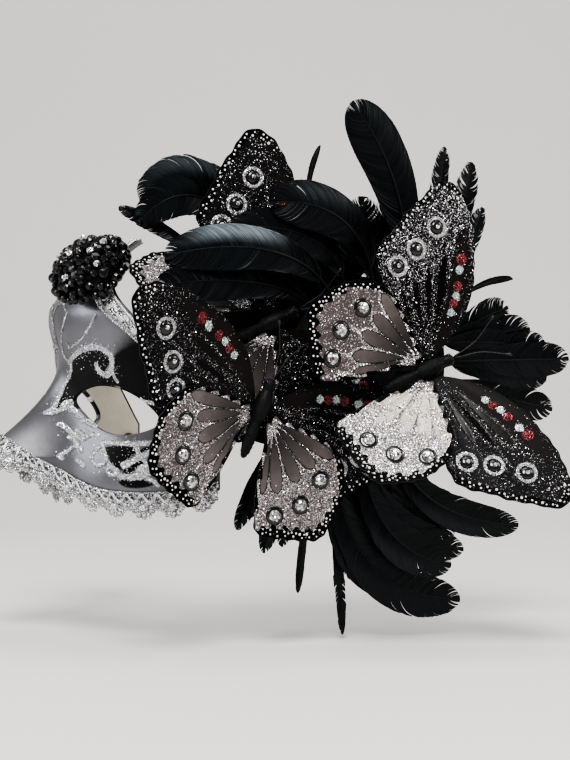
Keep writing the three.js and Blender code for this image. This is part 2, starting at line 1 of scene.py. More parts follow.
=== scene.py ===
"""The looks of a Venetian masquerade mask with hinged butterflies and a fan of black feathers.

Shapes are worked out in millimetres in the frame of the part: +Z up, -Y the way the mask
faces, +X the wearer's left. Mesh.build turns them into metres and fixes each to its body.
"""

import json
import math
from functools import lru_cache
from math import cos, pi, radians, sin

import bpy
import numpy as np
from mathutils import Matrix, Vector

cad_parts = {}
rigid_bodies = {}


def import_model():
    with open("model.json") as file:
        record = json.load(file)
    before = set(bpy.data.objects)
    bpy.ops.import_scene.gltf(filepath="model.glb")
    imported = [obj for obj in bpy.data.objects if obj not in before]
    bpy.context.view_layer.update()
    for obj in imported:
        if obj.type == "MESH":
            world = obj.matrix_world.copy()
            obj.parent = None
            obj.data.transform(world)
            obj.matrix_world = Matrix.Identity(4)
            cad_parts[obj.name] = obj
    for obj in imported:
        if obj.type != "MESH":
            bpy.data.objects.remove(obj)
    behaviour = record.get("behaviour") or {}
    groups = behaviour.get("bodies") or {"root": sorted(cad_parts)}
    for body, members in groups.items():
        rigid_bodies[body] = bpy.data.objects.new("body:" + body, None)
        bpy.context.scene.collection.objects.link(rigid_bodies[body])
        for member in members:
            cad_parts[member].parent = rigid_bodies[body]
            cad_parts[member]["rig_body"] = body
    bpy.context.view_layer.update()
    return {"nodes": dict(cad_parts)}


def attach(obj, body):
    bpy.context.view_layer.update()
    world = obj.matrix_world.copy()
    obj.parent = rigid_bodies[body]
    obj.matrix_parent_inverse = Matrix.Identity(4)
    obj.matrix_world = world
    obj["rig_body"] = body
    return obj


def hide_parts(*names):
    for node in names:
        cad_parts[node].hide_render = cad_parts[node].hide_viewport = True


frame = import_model()
SEED = 7
rng = np.random.default_rng(SEED)
MM = 0.001
TINY = 1e-12
FAR = 1e9


# ---- arrays and meshes --------------------------------------------------------------------
def arr(x):
    return np.asarray(x, float)


def unit(v):
    v = arr(v)
    return v / np.maximum(np.linalg.norm(v, axis=-1, keepdims=True), TINY)


def smoothstep(a, b, x):
    t = np.clip((x - a) / (b - a), 0, 1)
    return t * t * (3 - 2 * t)


class Mesh:
    """Vertices, faces and per-vertex values gathered piece by piece, in millimetres."""

    def __init__(self):
        self.verts = []
        self.faces = {3: [], 4: []}
        self.mats = {3: [], 4: []}
        self.values = []
        self.count = 0

    def add(self, verts, faces, material=0, **values):
        """Adds vertices with their values and faces between them; gives the first one's number."""
        verts = arr(verts).reshape(-1, 3)
        start = self.count
        self.verts.append(verts)
        self.values.append((len(verts), values))
        self.count += len(verts)
        self.add_faces(faces, start, material)
        return start

    def add_faces(self, faces, start, material=0):
        """Adds faces whose vertices are numbered from start."""
        faces = np.asarray(faces, np.int64)
        corners = faces.shape[1]
        self.faces[corners].append(faces + start)
        self.mats[corners].append(np.full(len(faces), material, np.int32))

    def set_faces(self, mesh):
        loops, starts, mats = [], [], []
        at = 0
        for corners, groups in self.faces.items():
            if not groups:
                continue
            faces = np.concatenate(groups)
            loops.append(faces.ravel())
            starts.append(at + np.arange(len(faces)) * corners)
            mats.append(np.concatenate(self.mats[corners]))
            at += faces.size
        mesh.loops.add(at)
        mesh.loops.foreach_set("vertex_index", np.concatenate(loops).astype(np.int32))
        starts = np.concatenate(starts).astype(np.int32)
        mesh.polygons.add(len(starts))
        mesh.polygons.foreach_set("loop_start", starts)
        mesh.polygons.foreach_set("material_index", np.concatenate(mats))

    def set_values(self, mesh):
        for key in sorted({key for _, values in self.values for key in values}):
            parts = [np.broadcast_to(arr(values.get(key, 0.0)), (count,))
                     for count, values in self.values]
            attribute = mesh.attributes.new(key, "FLOAT", "POINT")
            attribute.data.foreach_set("value", np.concatenate(parts).astype(np.float32))

    def build(self, name, materials, body, replaces, smooth=True):
        mesh = bpy.data.meshes.new(name)
        mesh.vertices.add(self.count)
        verts = np.concatenate(self.verts) * MM
        mesh.vertices.foreach_set("co", verts.astype(np.float32).ravel())
        self.set_faces(mesh)
        self.set_values(mesh)
        mesh.update(calc_edges=True)
        mesh.validate()
        mesh.polygons.foreach_set("use_smooth", np.full(len(mesh.polygons), smooth))
        for finish in materials:
            mesh.materials.append(finish)
        obj = bpy.data.objects.new(name, mesh)
        bpy.context.scene.collection.objects.link(obj)
        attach(obj, body)
        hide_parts(*replaces)


def grid_faces(rows, columns, wrap=False):
    """Quads of a grid whose vertex (i, j) is number i * columns + j. wrap closes the columns."""
    last = columns if wrap else columns - 1
    i, j = np.meshgrid(np.arange(rows - 1), np.arange(last), indexing="ij")
    i, j = i.ravel(), j.ravel()
    k = (j + 1) % columns
    here, next_row = i * columns, (i + 1) * columns
    return np.stack([here + j, here + k, next_row + k, next_row + j], 1)


def frames_along(points):
    """Side and normal at each point of a path, turning as little as they can."""
    t = unit(np.gradient(points, axis=0))
    n = np.zeros_like(t)
    up, aside = arr((0, 0, 1)), arr((1, 0, 0))
    first = up - t[0] * (up @ t[0])
    if np.linalg.norm(first) < 1e-3:
        first = aside - t[0] * (aside @ t[0])
    n[0] = unit(first)
    for i in range(1, len(points)):
        n[i] = unit(n[i - 1] - t[i] * (n[i - 1] @ t[i]))
    return np.cross(t, n), n


POINT_WIDTH, POINT_LENGTH = 0.05, 0.7  # of the tube's radius


def tube(mesh, points, radius, sides, material=0):
    """A round tube along a path, with pointed ends."""
    radius = np.broadcast_to(arr(radius), (len(points),))
    points = np.concatenate([points[:1], points, points[-1:]])
    radius = np.concatenate([radius[:1] * POINT_WIDTH, radius, radius[-1:] * POINT_WIDTH])
    points[0] = points[1] - unit(points[2] - points[1]) * radius[1] * POINT_LENGTH
    points[-1] = points[-2] + unit(points[-2] - points[-3]) * radius[-2] * POINT_LENGTH
    side, normal = frames_along(points)
    turn = np.arange(sides) * 2 * pi / sides
    ring = side[:, None] * np.cos(turn)[:, None] + normal[:, None] * np.sin(turn)[:, None]
    verts = points[:, None] + ring * radius[:, None, None]
    mesh.add(verts, grid_faces(len(points), sides, wrap=True)[:, ::-1], material)


def resample(points, step=None, count=None):
    """Even points along a path, and how far along each one is."""
    points = arr(points)
    gaps = np.linalg.norm(np.diff(points, axis=0), axis=1)
    length = np.concatenate([[0], np.cumsum(gaps)])
    count = count or max(2, int(length[-1] / step) + 1)
    s = np.linspace(0, length[-1], count)
    return np.stack([np.interp(s, length, points[:, k]) for k in range(points.shape[1])], 1), s


def spline(points, per=12, closed=False):
    """A Catmull-Rom curve through points."""
    p = arr(points)
    n = len(p)
    if closed:
        ends = np.concatenate([p[-1:], p, p[:2]])
        spans = n
    else:
        ends = np.concatenate([2 * p[:1] - p[1:2], p, 2 * p[-1:] - p[-2:-1]])
        spans = n - 1
    t = np.linspace(0, 1, per, endpoint=False)[:, None]
    out = []
    for i in range(spans):
        a, b, c, d = ends[i:i + 4]
        out.append(0.5 * (2 * b + (c - a) * t + (2 * a - 5 * b + 4 * c - d) * t ** 2
                          + (3 * b - a - 3 * c + d) * t ** 3))
    if not closed:
        out.append(p[-1:])
    return np.concatenate(out)


def polygon_distance(points, polygon):
    """Signed distance from 2-D points to a closed polygon, negative inside."""
    a = arr(polygon)
    b = np.roll(a, -1, axis=0)
    best = np.full(len(points), FAR)
    inside = np.zeros(len(points), bool)
    for p, q in zip(a, b):
        d = q - p
        t = np.clip(((points - p) @ d) / max(d @ d, TINY), 0, 1)
        best = np.minimum(best, np.linalg.norm(points - p - t[:, None] * d, axis=1))
        crosses = (p[1] > points[:, 1]) != (q[1] > points[:, 1])
        rise = d[1] if abs(d[1]) > TINY else TINY
        x = p[0] + (points[:, 1] - p[1]) / rise * d[0]
        inside ^= crosses & (points[:, 0] < x)
    return np.where(inside, -best, best)


def path_distance(points, path):
    """Distance from 2-D points to an open path."""
    path = arr(path)
    best = np.full(len(points), FAR)
    for p, q in zip(path[:-1], path[1:]):
        d = q - p
        t = np.clip(((points - p) @ d) / max(d @ d, TINY), 0, 1)
        best = np.minimum(best, np.linalg.norm(points - p - t[:, None] * d, axis=1))
    return best


# ---- materials ----------------------------------------------------------------------------
class Nodes:
    """Short names for making and joining shader nodes in one tree."""

    def __init__(self, tree):
        self.tree = tree

    def add(self, kind, inputs=None, **settings):
        node = self.tree.nodes.new(kind)
        for key, value in settings.items():
            setattr(node, key, value)
        for key, value in (inputs or {}).items():
            self.put(value, node.inputs[key])
        return node

    def put(self, value, socket):
        if isinstance(value, bpy.types.NodeSocket):
            self.tree.links.new(value, socket)
        elif isinstance(value, bpy.types.Node):
            self.tree.links.new(value.outputs[0], socket)
        else:
            socket.default_value = value

    def attribute(self, name):
        return self.add("ShaderNodeAttribute", attribute_name=name).outputs["Fac"]

    def math(self, operation, a, b=0.0, clamp=False):
        node = self.add("ShaderNodeMath", operation=operation, use_clamp=clamp)
        self.put(a, node.inputs[0])
        self.put(b, node.inputs[1])
        return node.outputs[0]

    def ramp(self, value, low, high, out_low=0.0, out_high=1.0):
        node = self.add("ShaderNodeMapRange", interpolation_type="SMOOTHSTEP")
        for key, v in zip(("Value", "From Min", "From Max", "To Min", "To Max"),
                          (value, low, high, out_low, out_high)):
            self.put(v, node.inputs[key])
        return node.outputs["Result"]

    def blend(self, kind, share, a, b):
        """A Mix node whose sockets are of the kind named: RGBA, VALUE or VECTOR."""
        node = self.add("ShaderNodeMix", data_type="FLOAT" if kind == "VALUE" else kind)
        self.put(share, node.inputs["Factor"])
        for key, v in (("A", a), ("B", b)):
            self.put(v, next(s for s in node.inputs if s.name == key and s.type == kind))
        return next(s for s in node.outputs if s.type == kind)

    def mix(self, share, a, b):
        a, b = ((*v, 1.0) if isinstance(v, tuple) else v for v in (a, b))
        return self.blend("RGBA", share, a, b)

    def mix_value(self, share, a, b):
        return self.blend("VALUE", share, a, b)

    def mix_vector(self, share, a, b):
        return self.blend("VECTOR", share, a, b)

    def vector_math(self, operation, a, **inputs):
        """inputs: b is the second vector, Scale the factor."""
        sockets = {1 if key == "b" else key: value for key, value in inputs.items()}
        node = self.add("ShaderNodeVectorMath", {0: a, **sockets}, operation=operation)
        return node.outputs[0]

    def noise(self, vector, scale, detail=3.0, roughness=0.55):
        inputs = {"Vector": vector, "Scale": scale, "Detail": detail, "Roughness": roughness}
        return self.add("ShaderNodeTexNoise", inputs).outputs["Fac"]

    def bump(self, height, strength, distance, normal=None):
        inputs = {"Height": height, "Strength": strength, "Distance": distance}
        if normal is not None:
            inputs["Normal"] = normal
        return self.add("ShaderNodeBump", inputs).outputs["Normal"]

    def group(self, tree, **inputs):
        node = self.add("ShaderNodeGroup", node_tree=tree)
        for key, value in inputs.items():
            self.put(value, node.inputs[key.replace("_", " ")])
        return node.outputs


def new_group(name, inputs, outputs):
    tree = bpy.data.node_groups.new(name, "ShaderNodeTree")
    for label, kind, default in inputs:
        socket = tree.interface.new_socket(label, in_out="INPUT", socket_type=kind)
        if default is not None:
            socket.default_value = default
    for label, kind in outputs:
        tree.interface.new_socket(label, in_out="OUTPUT", socket_type=kind)
    n = Nodes(tree)
    return tree, n, n.add("NodeGroupInput").outputs, n.add("NodeGroupOutput").inputs


FLOAT, VECTOR = "NodeSocketFloat", "NodeSocketVector"


def glitter_group():
    """Flat flakes that each take their own tilt and brightness."""
    tree, n, given, out = new_group(
        "Glitter",
        [("Vector", VECTOR, None), ("Scale", FLOAT, 1500.0), ("Tilt", FLOAT, 0.8)],
        [("Shade", FLOAT), ("Normal", VECTOR)])
    cells = n.add("ShaderNodeTexVoronoi", {"Vector": given["Vector"], "Scale": given["Scale"]})
    colour = cells.outputs["Color"]
    lean = n.vector_math("SUBTRACT", colour, b=(0.5, 0.5, 0.5))
    lean = n.vector_math("SCALE", lean, Scale=given["Tilt"])
    upright = n.add("ShaderNodeNewGeometry").outputs["Normal"]
    leaning = n.vector_math("ADD", upright, b=lean)
    n.put(n.vector_math("NORMALIZE", leaning), out["Normal"])
    n.put(n.add("ShaderNodeSeparateColor", {"Color": colour}), out["Shade"])
    return tree


def clouding_group():
    """Soft clouding and fine grain for a painted or metal surface."""
    tree, n, given, out = new_group(
        "Clouding",
        [("Vector", VECTOR, None), ("Coarse", FLOAT, 30.0), ("Fine", FLOAT, 900.0)],
        [("Cloud", FLOAT), ("Grain", FLOAT)])
    n.put(n.noise(given["Vector"], given["Coarse"], 4.0), out["Cloud"])
    n.put(n.noise(given["Vector"], given["Fine"], 2.0), out["Grain"])
    return tree


def fibres_group():
    """Threads of a felted or woven cloth, as a height and a shade."""
    tree, n, given, out = new_group(
        "Fibres", [("Vector", VECTOR, None), ("Scale", FLOAT, 700.0)],
        [("Height", FLOAT), ("Shade", FLOAT)])
    warp = n.add("ShaderNodeTexNoise", {"Vector": given["Vector"], "Scale": 260.0, "Detail": 3.0})
    bend = n.vector_math("SCALE", warp.outputs["Color"], Scale=0.004)
    moved = n.vector_math("ADD", given["Vector"], b=bend)
    fibre = n.add("ShaderNodeTexVoronoi", {"Vector": moved, "Scale": given["Scale"]},
                  feature="DISTANCE_TO_EDGE")
    n.put(fibre.outputs["Distance"], out["Height"])
    n.put(warp.outputs["Fac"], out["Shade"])
    return tree


GLITTER = glitter_group()
CLOUD = clouding_group()
FIBRES = fibres_group()


def material(name, paint):
    made = bpy.data.materials.new(name)
    made.use_nodes = True
    made.node_tree.nodes.clear()
    n = Nodes(made.node_tree)
    shader = n.add("ShaderNodeBsdfPrincipled")
    out = n.add("ShaderNodeOutputMaterial")
    paint(n, shader.inputs)
    made.node_tree.links.new(shader.outputs[0], out.inputs["Surface"])
    return made


def here(n):
    """The place on the piece, for patterns that stay with it."""
    return n.add("ShaderNodeTexCoord").outputs["Object"]


# ---- the mask's surface -------------------------------------------------------------------
HALF_WIDTH, DEPTH, WALL = 74.0, 82.0, 2.4
BROW, FOREHEAD_LEAN, BROW_BULGE, CHEEK_BULGE, SOCKET_DEPTH = 24.0, 42.0, 4.0, 4.0, 5.0
NOSE_LENGTH, NOSE_REACH, NOSE_TOP_WIDTH, NOSE_TIP_WIDTH = 44.0, 37.0, 9.0, 15.0
EYE_ANGLE, EYE_HEIGHT, EYE_HALF_LENGTH, EYE_HALF_OPEN, EYE_SLANT = 34.5, -25.5, 21.0, 12.0, -0.27
SIDE_ANGLE = 78.0
PINCH = 300.0  # the larger, the less the sides draw in above the brow
NOSE_FULL, NOSE_CURVE = 1.15, 1.5
SOCKET_ANGLE_SPAN, SOCKET_RISE, SOCKET_SPAN = 24.0, 4.0, 17.0
CHEEK_ANGLE, CHEEK_HEIGHT, CHEEK_ANGLE_SPAN, CHEEK_SPAN = 38.0, -62.0, 20.0, 16.0
BROW_SPAN = 16.0
LID_CURVE = 0.35  # how much the eye opening narrows towards its corners
UPPER_EDGE = arr([[0, 68], [20, 55], [32, 41], [46, 25], [57, 7], [68, -14], [78, -36]])
LOWER_EDGE = arr([[0, -43], [5, -46], [10, -52], [16, -60], [24, -66.5], [40, -71], [60, -71],
                  [78, -66]])


def through(points, x):
    """A smooth curve through points [x, y], given in order of x."""
    x = arr(x)
    at = np.clip(np.searchsorted(points[:, 0], x, side="right") - 1, 0, len(points) - 2)
    low = points[np.maximum(np.arange(len(points)) - 1, 0)]
    high = points[np.minimum(np.arange(len(points)) + 1, len(points) - 1)]
    slope = (high[:, 1] - low[:, 1]) / (high[:, 0] - low[:, 0])
    h = points[at + 1, 0] - points[at, 0]
    t = np.clip((x - points[at, 0]) / h, 0, 1)
    rise = t * t * (3 - 2 * t)
    bend = t * (1 - t) * ((1 - t) * slope[at] - t * slope[at + 1]) * h
    return points[at, 1] * (1 - rise) + points[at + 1, 1] * rise + bend


def upper_edge(angle):
    return through(UPPER_EDGE, np.abs(angle))


def lower_edge(angle):
    return through(LOWER_EDGE, np.abs(angle))


def mask_point(angle, z):
    """The outer face at an angle round from the nose, in degrees, and a height."""
    angle, z = np.broadcast_arrays(arr(angle), arr(z))
    turn = np.radians(angle)
    above = np.maximum(0, z - BROW)
    x = (HALF_WIDTH - above ** 2 / PINCH) * np.sin(turn)
    down = np.clip(-z / NOSE_LENGTH, 0, NOSE_FULL)
    nose_width = NOSE_TOP_WIDTH + (NOSE_TIP_WIDTH - NOSE_TOP_WIDTH) * down
    nose = NOSE_REACH * down ** NOSE_CURVE * np.exp(-(x / nose_width) ** 2)
    off_eye = (np.abs(angle) - EYE_ANGLE) / SOCKET_ANGLE_SPAN
    above_eye = (z - EYE_HEIGHT - SOCKET_RISE) / SOCKET_SPAN
    socket = SOCKET_DEPTH * np.exp(-off_eye ** 2 - above_eye ** 2)
    off_cheek = (np.abs(angle) - CHEEK_ANGLE) / CHEEK_ANGLE_SPAN
    above_cheek = (z - CHEEK_HEIGHT) / CHEEK_SPAN
    cheek = CHEEK_BULGE * np.exp(-off_cheek ** 2 - above_cheek ** 2)
    lean = above ** 2 / FOREHEAD_LEAN * np.cos(turn)
    brow = BROW_BULGE * np.exp(-((z - BROW) / BROW_SPAN) ** 2) * np.cos(turn)
    y = DEPTH * (1 - np.cos(turn)) + lean - brow - nose + socket - cheek
    return np.stack([x, y, z], -1)


def mask_normal(angle, z):
    angle, z = np.broadcast_arrays(arr(angle), arr(z))
    across = mask_point(angle + 0.5, z) - mask_point(angle - 0.5, z)
    up = mask_point(angle, z + 0.5) - mask_point(angle, z - 0.5)
    return unit(np.cross(across, up))


def off_mask(angle, z, out):
    """A point that stands off the outer face."""
    return mask_point(angle, z) + mask_normal(angle, z) * np.asarray(out)[..., None]


def eye_outline(count, side=1):
    """The almond of one eye opening, as angle and height."""
    turn = np.arange(count) * 2 * pi / count
    along = np.cos(turn)
    opening = np.sin(turn) * (1 - LID_CURVE * along ** 2)
    angle = EYE_ANGLE + EYE_HALF_LENGTH * along
    z = EYE_HEIGHT + EYE_HALF_OPEN * opening + EYE_SLANT * EYE_HALF_LENGTH * along
    return np.stack([side * angle, z], 1)


# ---- paint and glitter on the shell -------------------------------------------------------
DEGREE = 1.33  # mm round the shell for each degree, near enough for the pattern
# Glitter lines: half width in mm, then angle and height of each point. Both sides match.
LINES = [
    (0.42, [(15, 26), (11.8, 19.5), (8.2, 13.5), (6.2, 8.2), (7.2, 2.8), (11.5, 0)]),
    (0.42, [(32, 24.2), (29.8, 19.8), (25.2, 14), (19.5, 9.8), (13.5, 7.5), (12, 9.8)]),
    (0.42, [(15, 26), (9, 31), (3.5, 30), (1.2, 24), (0.6, 14), (1.6, 6)]),
    (1.35, [(11.5, 0), (15.5, 3), (20.8, 5.8), (25.5, 7), (30, 7.2), (33.5, 6), (35.8, 3.2),
            (36.2, -0.2), (35.2, -3.5), (33, -6.8), (30.8, -7), (29.2, -5.2), (28.2, -3.2),
            (28.2, -1.5)]),
    (0.9, [(35.2, -3.8), (35.6, -8), (36.5, -10.5)]),
    (1.0, [(11.5, 0), (12.2, -3.5), (10.2, -8), (8.2, -12.2), (7.8, -16), (7.5, -20.5),
           (7.6, -24.2), (6.6, -26.8)]),
    (1.2, [(6.8, -27), (8.8, -26.6), (11.5, -24), (14.8, -25.8), (17.2, -28.2), (21, -31.2),
           (25.8, -33.8)]),
    (2.3, [(11, -22.6), (12, -22.2)]),
    (0.9, [(11.5, -33), (13.5, -34.5), (15.8, -37), (17.8, -38.8), (20.5, -40.5), (22.5, -40.8)]),
    (0.8, [(16.2, -39.8), (18.8, -42.2), (20.8, -44.2), (22.5, -47)]),
    (0.8, [(17.8, -36.2), (21, -38.2), (23.8, -39.5), (26, -38), (28.8, -38.5)]),
    (0.8, [(21, -45), (19.2, -44.8), (18, -46.2), (17, -48.2), (16, -49.2), (16.8, -51)]),
    (0.9, [(21.8, -51.8), (23.5, -53.5), (25.2, -54.8)]),
    (0.8, [(32.5, -43.2), (30.5, -45.2), (28.8, -48), (28.8, -51), (30.5, -53.5), (33.2, -54.2),
           (35.5, -53)]),
    (0.7, [(32.5, -43.2), (34.5, -47), (36, -50.2), (38.2, -53.8)]),
    (1.1, [(32.2, -42.2), (37.2, -42.2), (41.8, -42.5), (46.8, -42.8), (51.2, -42.2), (57, -41.2),
           (64, -38), (70, -33)]),
    (0.9, [(46.8, -43.2), (48.8, -46.8), (50.8, -50), (52.5, -52.5), (56, -56.5), (62, -59)]),
    (1.35, [(64, -38.5), (59, -42.5), (54.2, -45.8), (52, -48), (49.8, -49.2), (47.5, -51.5),
            (45.2, -53.2)]),
    (1.9, [(45.4, -53), (44.4, -53.5)]),
    (1.1, [(38.2, -53.8), (41, -56.2), (43.2, -59.2), (46, -59.5), (49.5, -58.8), (51.8, -57.2),
           (54.5, -56)]),
    (3.2, [(51.6, -56.2), (53, -56)]),
    (0.8, [(38.5, -54.2), (37.8, -56.8), (39.5, -58.8), (41.5, -58.5)]),
    (0.9, [(43.2, -59.5), (47.2, -60.5), (52, -60), (55.2, -61.5), (57, -63.8)]),
    (0.9, [(44, -20), (48.8, -21), (52.8, -21.8), (57, -21.6), (62, -19)]),
    (0.8, [(60, -60), (64, -55), (69, -53), (71, -57), (68, -60)]),
]
# Black areas: how soft the edge is in mm, and the outline.
BLACK = [
    (0.5, [(7.8, -24.2), (7.8, -16.2), (10.8, -8), (12.5, -3.5), (15.2, 1.8), (21, 5.2),
           (26.2, 6.5), (30.8, 6.5), (34.5, 4.2), (35.5, -0.2), (35.2, -4.5), (35.6, -8),
           (37, -13), (29.5, -14), (24, -16), (20, -20), (18, -23), (16, -25), (12.8, -25.2),
           (9.8, -25.8)]),
    (0.6, [(37.4, 2), (41, 7.5), (45.2, 11.8), (50, 12.8), (56, 6), (62, -3), (70, -18),
           (75, -28), (70, -33), (62, -31), (54.5, -29.5), (49, -25.5), (44.2, -23.5),
           (39.8, -19.5), (37, -14), (35.9, -6.2)]),
    (0.4, [(34.5, -44.5), (43.5, -43.8), (47, -44), (48, -46.8), (44.8, -51), (42.5, -52.8),
           (44.2, -56.2), (40, -54.5), (36.8, -49.5)]),
    (0.4, [(49.2, -45.8), (53.5, -43.2), (54.2, -45.2), (50.8, -48.2)]),
    (0.4, [(48.2, -51.8), (51, -50), (54.5, -53.5), (50.5, -55.2), (45.8, -58.2), (44.2, -56.2),
           (46.8, -54.5)]),
    (0.4, [(42.8, -62.2), (46, -60), (49.5, -59.5), (53.8, -60.2), (56.2, -62.8), (53.8, -64.5),
           (49.5, -65.5), (45.2, -64.8)]),
    (0.5, [(56, -46), (63, -41), (70, -37), (73, -44), (68, -50), (60, -54)]),
]


UNPAINTED = 9.0  # mm, further from any line or area than its edge can reach
FADE = 5.5  # mm, how far the black fades out high on the temple


def paint(angle, z):
    """What is painted at points of the shell: distance to a glitter line, black, and temple."""
    angle, z = np.broadcast_arrays(np.abs(arr(angle)), arr(z))
    flat = np.stack([angle.ravel() * DEGREE, z.ravel()], 1)
    line = np.full(len(flat), UNPAINTED)
    for half, points in LINES:
        path = spline(points, 5) * (DEGREE, 1)
        line = np.minimum(line, path_distance(flat, path) - half)
    black = np.full(len(flat), UNPAINTED)
    fade = 0.5 + FADE * smoothstep(1, 11, flat[:, 1]) * smoothstep(46, 53, flat[:, 0])
    for soft, outline in BLACK:
        d = polygon_distance(flat, spline(outline, 4, closed=True) * (DEGREE, 1))
        black = np.minimum(black, d / np.maximum(soft, fade))
    temple = smoothstep(42, 76, angle.ravel())
    return {"line": line, "black": np.clip(black, -4, UNPAINTED), "temple": temple}


# ---- the shell ----------------------------------------------------------------------------
PAINTED, INSIDE, SHELL_FLAKES = 0, 1, 2
COLUMNS, ROWS = 440, 250
SNAP = 0.5  # grid points this near an eye opening's edge move onto it
CLEAR_OF_EDGE = 0.02
EYELET_ANGLE, EYELET_HEIGHT, EYELET_HOLE, EYELET_DEGREE = 73.0, -46.0, 3.6, 1.29
LINE_RISE = 0.35
RIM_LIP, RIM_BULGE, EYE_LIP, EYE_BULGE = 0.9, 0.35, 1.1, 0.3


def shell_grid():
    """Angle and height of each point of the shell's grid, and how far it is from an opening."""
    angle = -SIDE_ANGLE + 2 * SIDE_ANGLE * np.arange(COLUMNS) / (COLUMNS - 1)
    share = np.arange(ROWS) / (ROWS - 1)
    low, high = lower_edge(angle), upper_edge(angle)
    z = low[:, None] + (high - low)[:, None] * share
    angle = np.repeat(angle[:, None], ROWS, 1)
    hole = np.hypot((np.abs(angle) - EYELET_ANGLE) * EYELET_DEGREE, z - EYELET_HEIGHT)
    clear = None
    for side in (1, -1):
        ring = eye_outline(160, side) * (DEGREE, 1)
        flat = np.stack([angle.ravel() * DEGREE, z.ravel()], 1)
        d = polygon_distance(flat, ring).reshape(angle.shape)
        near = np.abs(d) < SNAP
        points = flat.reshape(COLUMNS, ROWS, 2)[near]
        gaps = np.linalg.norm(points[:, None] - ring[None], axis=2)
        nearest = ring[gaps.argmin(1)]
        angle[near], z[near] = nearest[:, 0] / DEGREE, nearest[:, 1]
        d[near] = 0
        clear = d if clear is None else np.minimum(clear, d)
    return angle, z, np.minimum(clear, hole - EYELET_HOLE)


def build_shell():
    angle, z, clear = shell_grid()
    faces = grid_faces(COLUMNS, ROWS)
    faces = faces[clear.ravel()[faces].mean(1) >= CLEAR_OF_EDGE]
    values = paint(angle, z)
    raised = LINE_RISE * smoothstep(0.25, -0.5, values["line"]).reshape(angle.shape)
    raised *= rng.uniform(0.55, 1.35, angle.shape)
    mesh = Mesh()
    mesh.add(off_mask(angle, z, raised), faces[:, ::-1], PAINTED, **values)
    mesh.add(off_mask(angle, z, -WALL), faces, INSIDE)
    sides = (np.s_[:, 0], np.s_[-1], np.s_[::-1, -1], np.s_[0, ::-1])
    around = np.concatenate([np.stack([angle[k], z[k]], 1) for k in sides])
    edge_strip(mesh, around, RIM_LIP, RIM_BULGE, centre=(0, -5))
    for side in (1, -1):
        ring = eye_outline(220, side)
        edge_strip(mesh, ring, EYE_LIP, EYE_BULGE, (side * EYE_ANGLE, EYE_HEIGHT), opening=True)
    glitter_on_shell(mesh)
    mesh.build("mask_shell_painted", [SILVER_PAINT, PAPIER, FLAKE], "mask",
               ["mask_shell"])


def edge_strip(mesh, ring, lip, bulge, centre, opening=False):
    """A rolled edge that joins the outer and inner faces along a closed line on the shell."""
    p, n = mask_point(*ring.T), mask_normal(*ring.T)
    t = np.roll(p, -1, 0) - np.roll(p, 1, 0)
    good = np.linalg.norm(t, axis=1) > 1e-4
    p, n, t, ring = p[good], n[good], unit(t[good]), ring[good]
    o = unit(np.cross(t, n))
    if opening == (np.sum(o * (mask_point(*centre) - p)) > 0):
        o = -o
    inward = -1 if opening else 1
    profile = [(-lip, 0.1), (-lip * 0.4, 0.24), (0, 0.1), (bulge * 0.8, -0.5), (bulge, -1.2),
               (bulge * 0.8, -1.9), (0, -WALL - 0.1), (-lip * 0.4, -WALL - 0.2), (-lip, -WALL - 0.05)]
    verts = np.stack([p + o * (inward * a) + n * b for a, b in profile])
    values = {key: np.tile(value, len(profile)) for key, value in paint(*ring.T).items()}
    mesh.add(verts, grid_faces(len(profile), len(p), wrap=True), PAINTED, **values)


def flakes(mesh, points, normals, size, material, tilt=0.55):
    """Small four-sided flakes, each with its own tilt, turn and shade."""
    points = arr(points)
    count = len(points)
    n = unit(normals + rng.normal(0, tilt * 0.5, (count, 3)))
    a = unit(np.cross(n, rng.normal(0, 1, (count, 3))))
    b = np.cross(n, a)
    half = (size * rng.uniform(0.6, 1.15, count) / 2)[:, None]
    c = half * rng.uniform(0.6, 1, count)[:, None]
    corners = np.stack([points + a * half + b * c, points - a * half + b * c * 0.8,
                        points - a * half - b * c, points + a * half * 0.8 - b * c], 1)
    faces = np.arange(count * 4).reshape(-1, 4)
    mesh.add(corners, faces, material, shade=np.repeat(rng.uniform(0, 1, count), 4))


LINE_FLAKE, FLAKES_PER_MM2 = 0.5, 9
STRAY, STRAY_SPREAD, LINE_SPREAD = 0.1, 2.2, 0.62


def glitter_on_shell(mesh):
    for half, points in LINES:
        path = spline(points, 8) * (DEGREE, 1)
        path, s = resample(path, step=0.1)
        count = int(s[-1] * half * 2 * FLAKES_PER_MM2)
        at = path[rng.integers(0, len(path), count)]
        spread = half * np.where(rng.random((count, 1)) < STRAY, STRAY_SPREAD, LINE_SPREAD)
        at = at + rng.normal(0, 1, (count, 2)) * spread
        for side in (1, -1):
            angle, z = side * at[:, 0] / DEGREE, at[:, 1]
            free = polygon_distance(at, eye_outline(80) * (DEGREE, 1)) > 0.6
            free &= (z > lower_edge(angle) + 0.5) & (z < upper_edge(angle) - 0.5)
            angle, z = angle[free], z[free]
            on_line = off_mask(angle, z, 0.22 + 0.3 * rng.random(len(z)))
            flakes(mesh, on_line, mask_normal(angle, z), LINE_FLAKE, SHELL_FLAKES)


# ---- trims --------------------------------------------------------------------------------
THREAD, BRIGHT, LACE_FLAKES, GROUND = 0, 1, 2, 3
EDGE_STEPS = 900


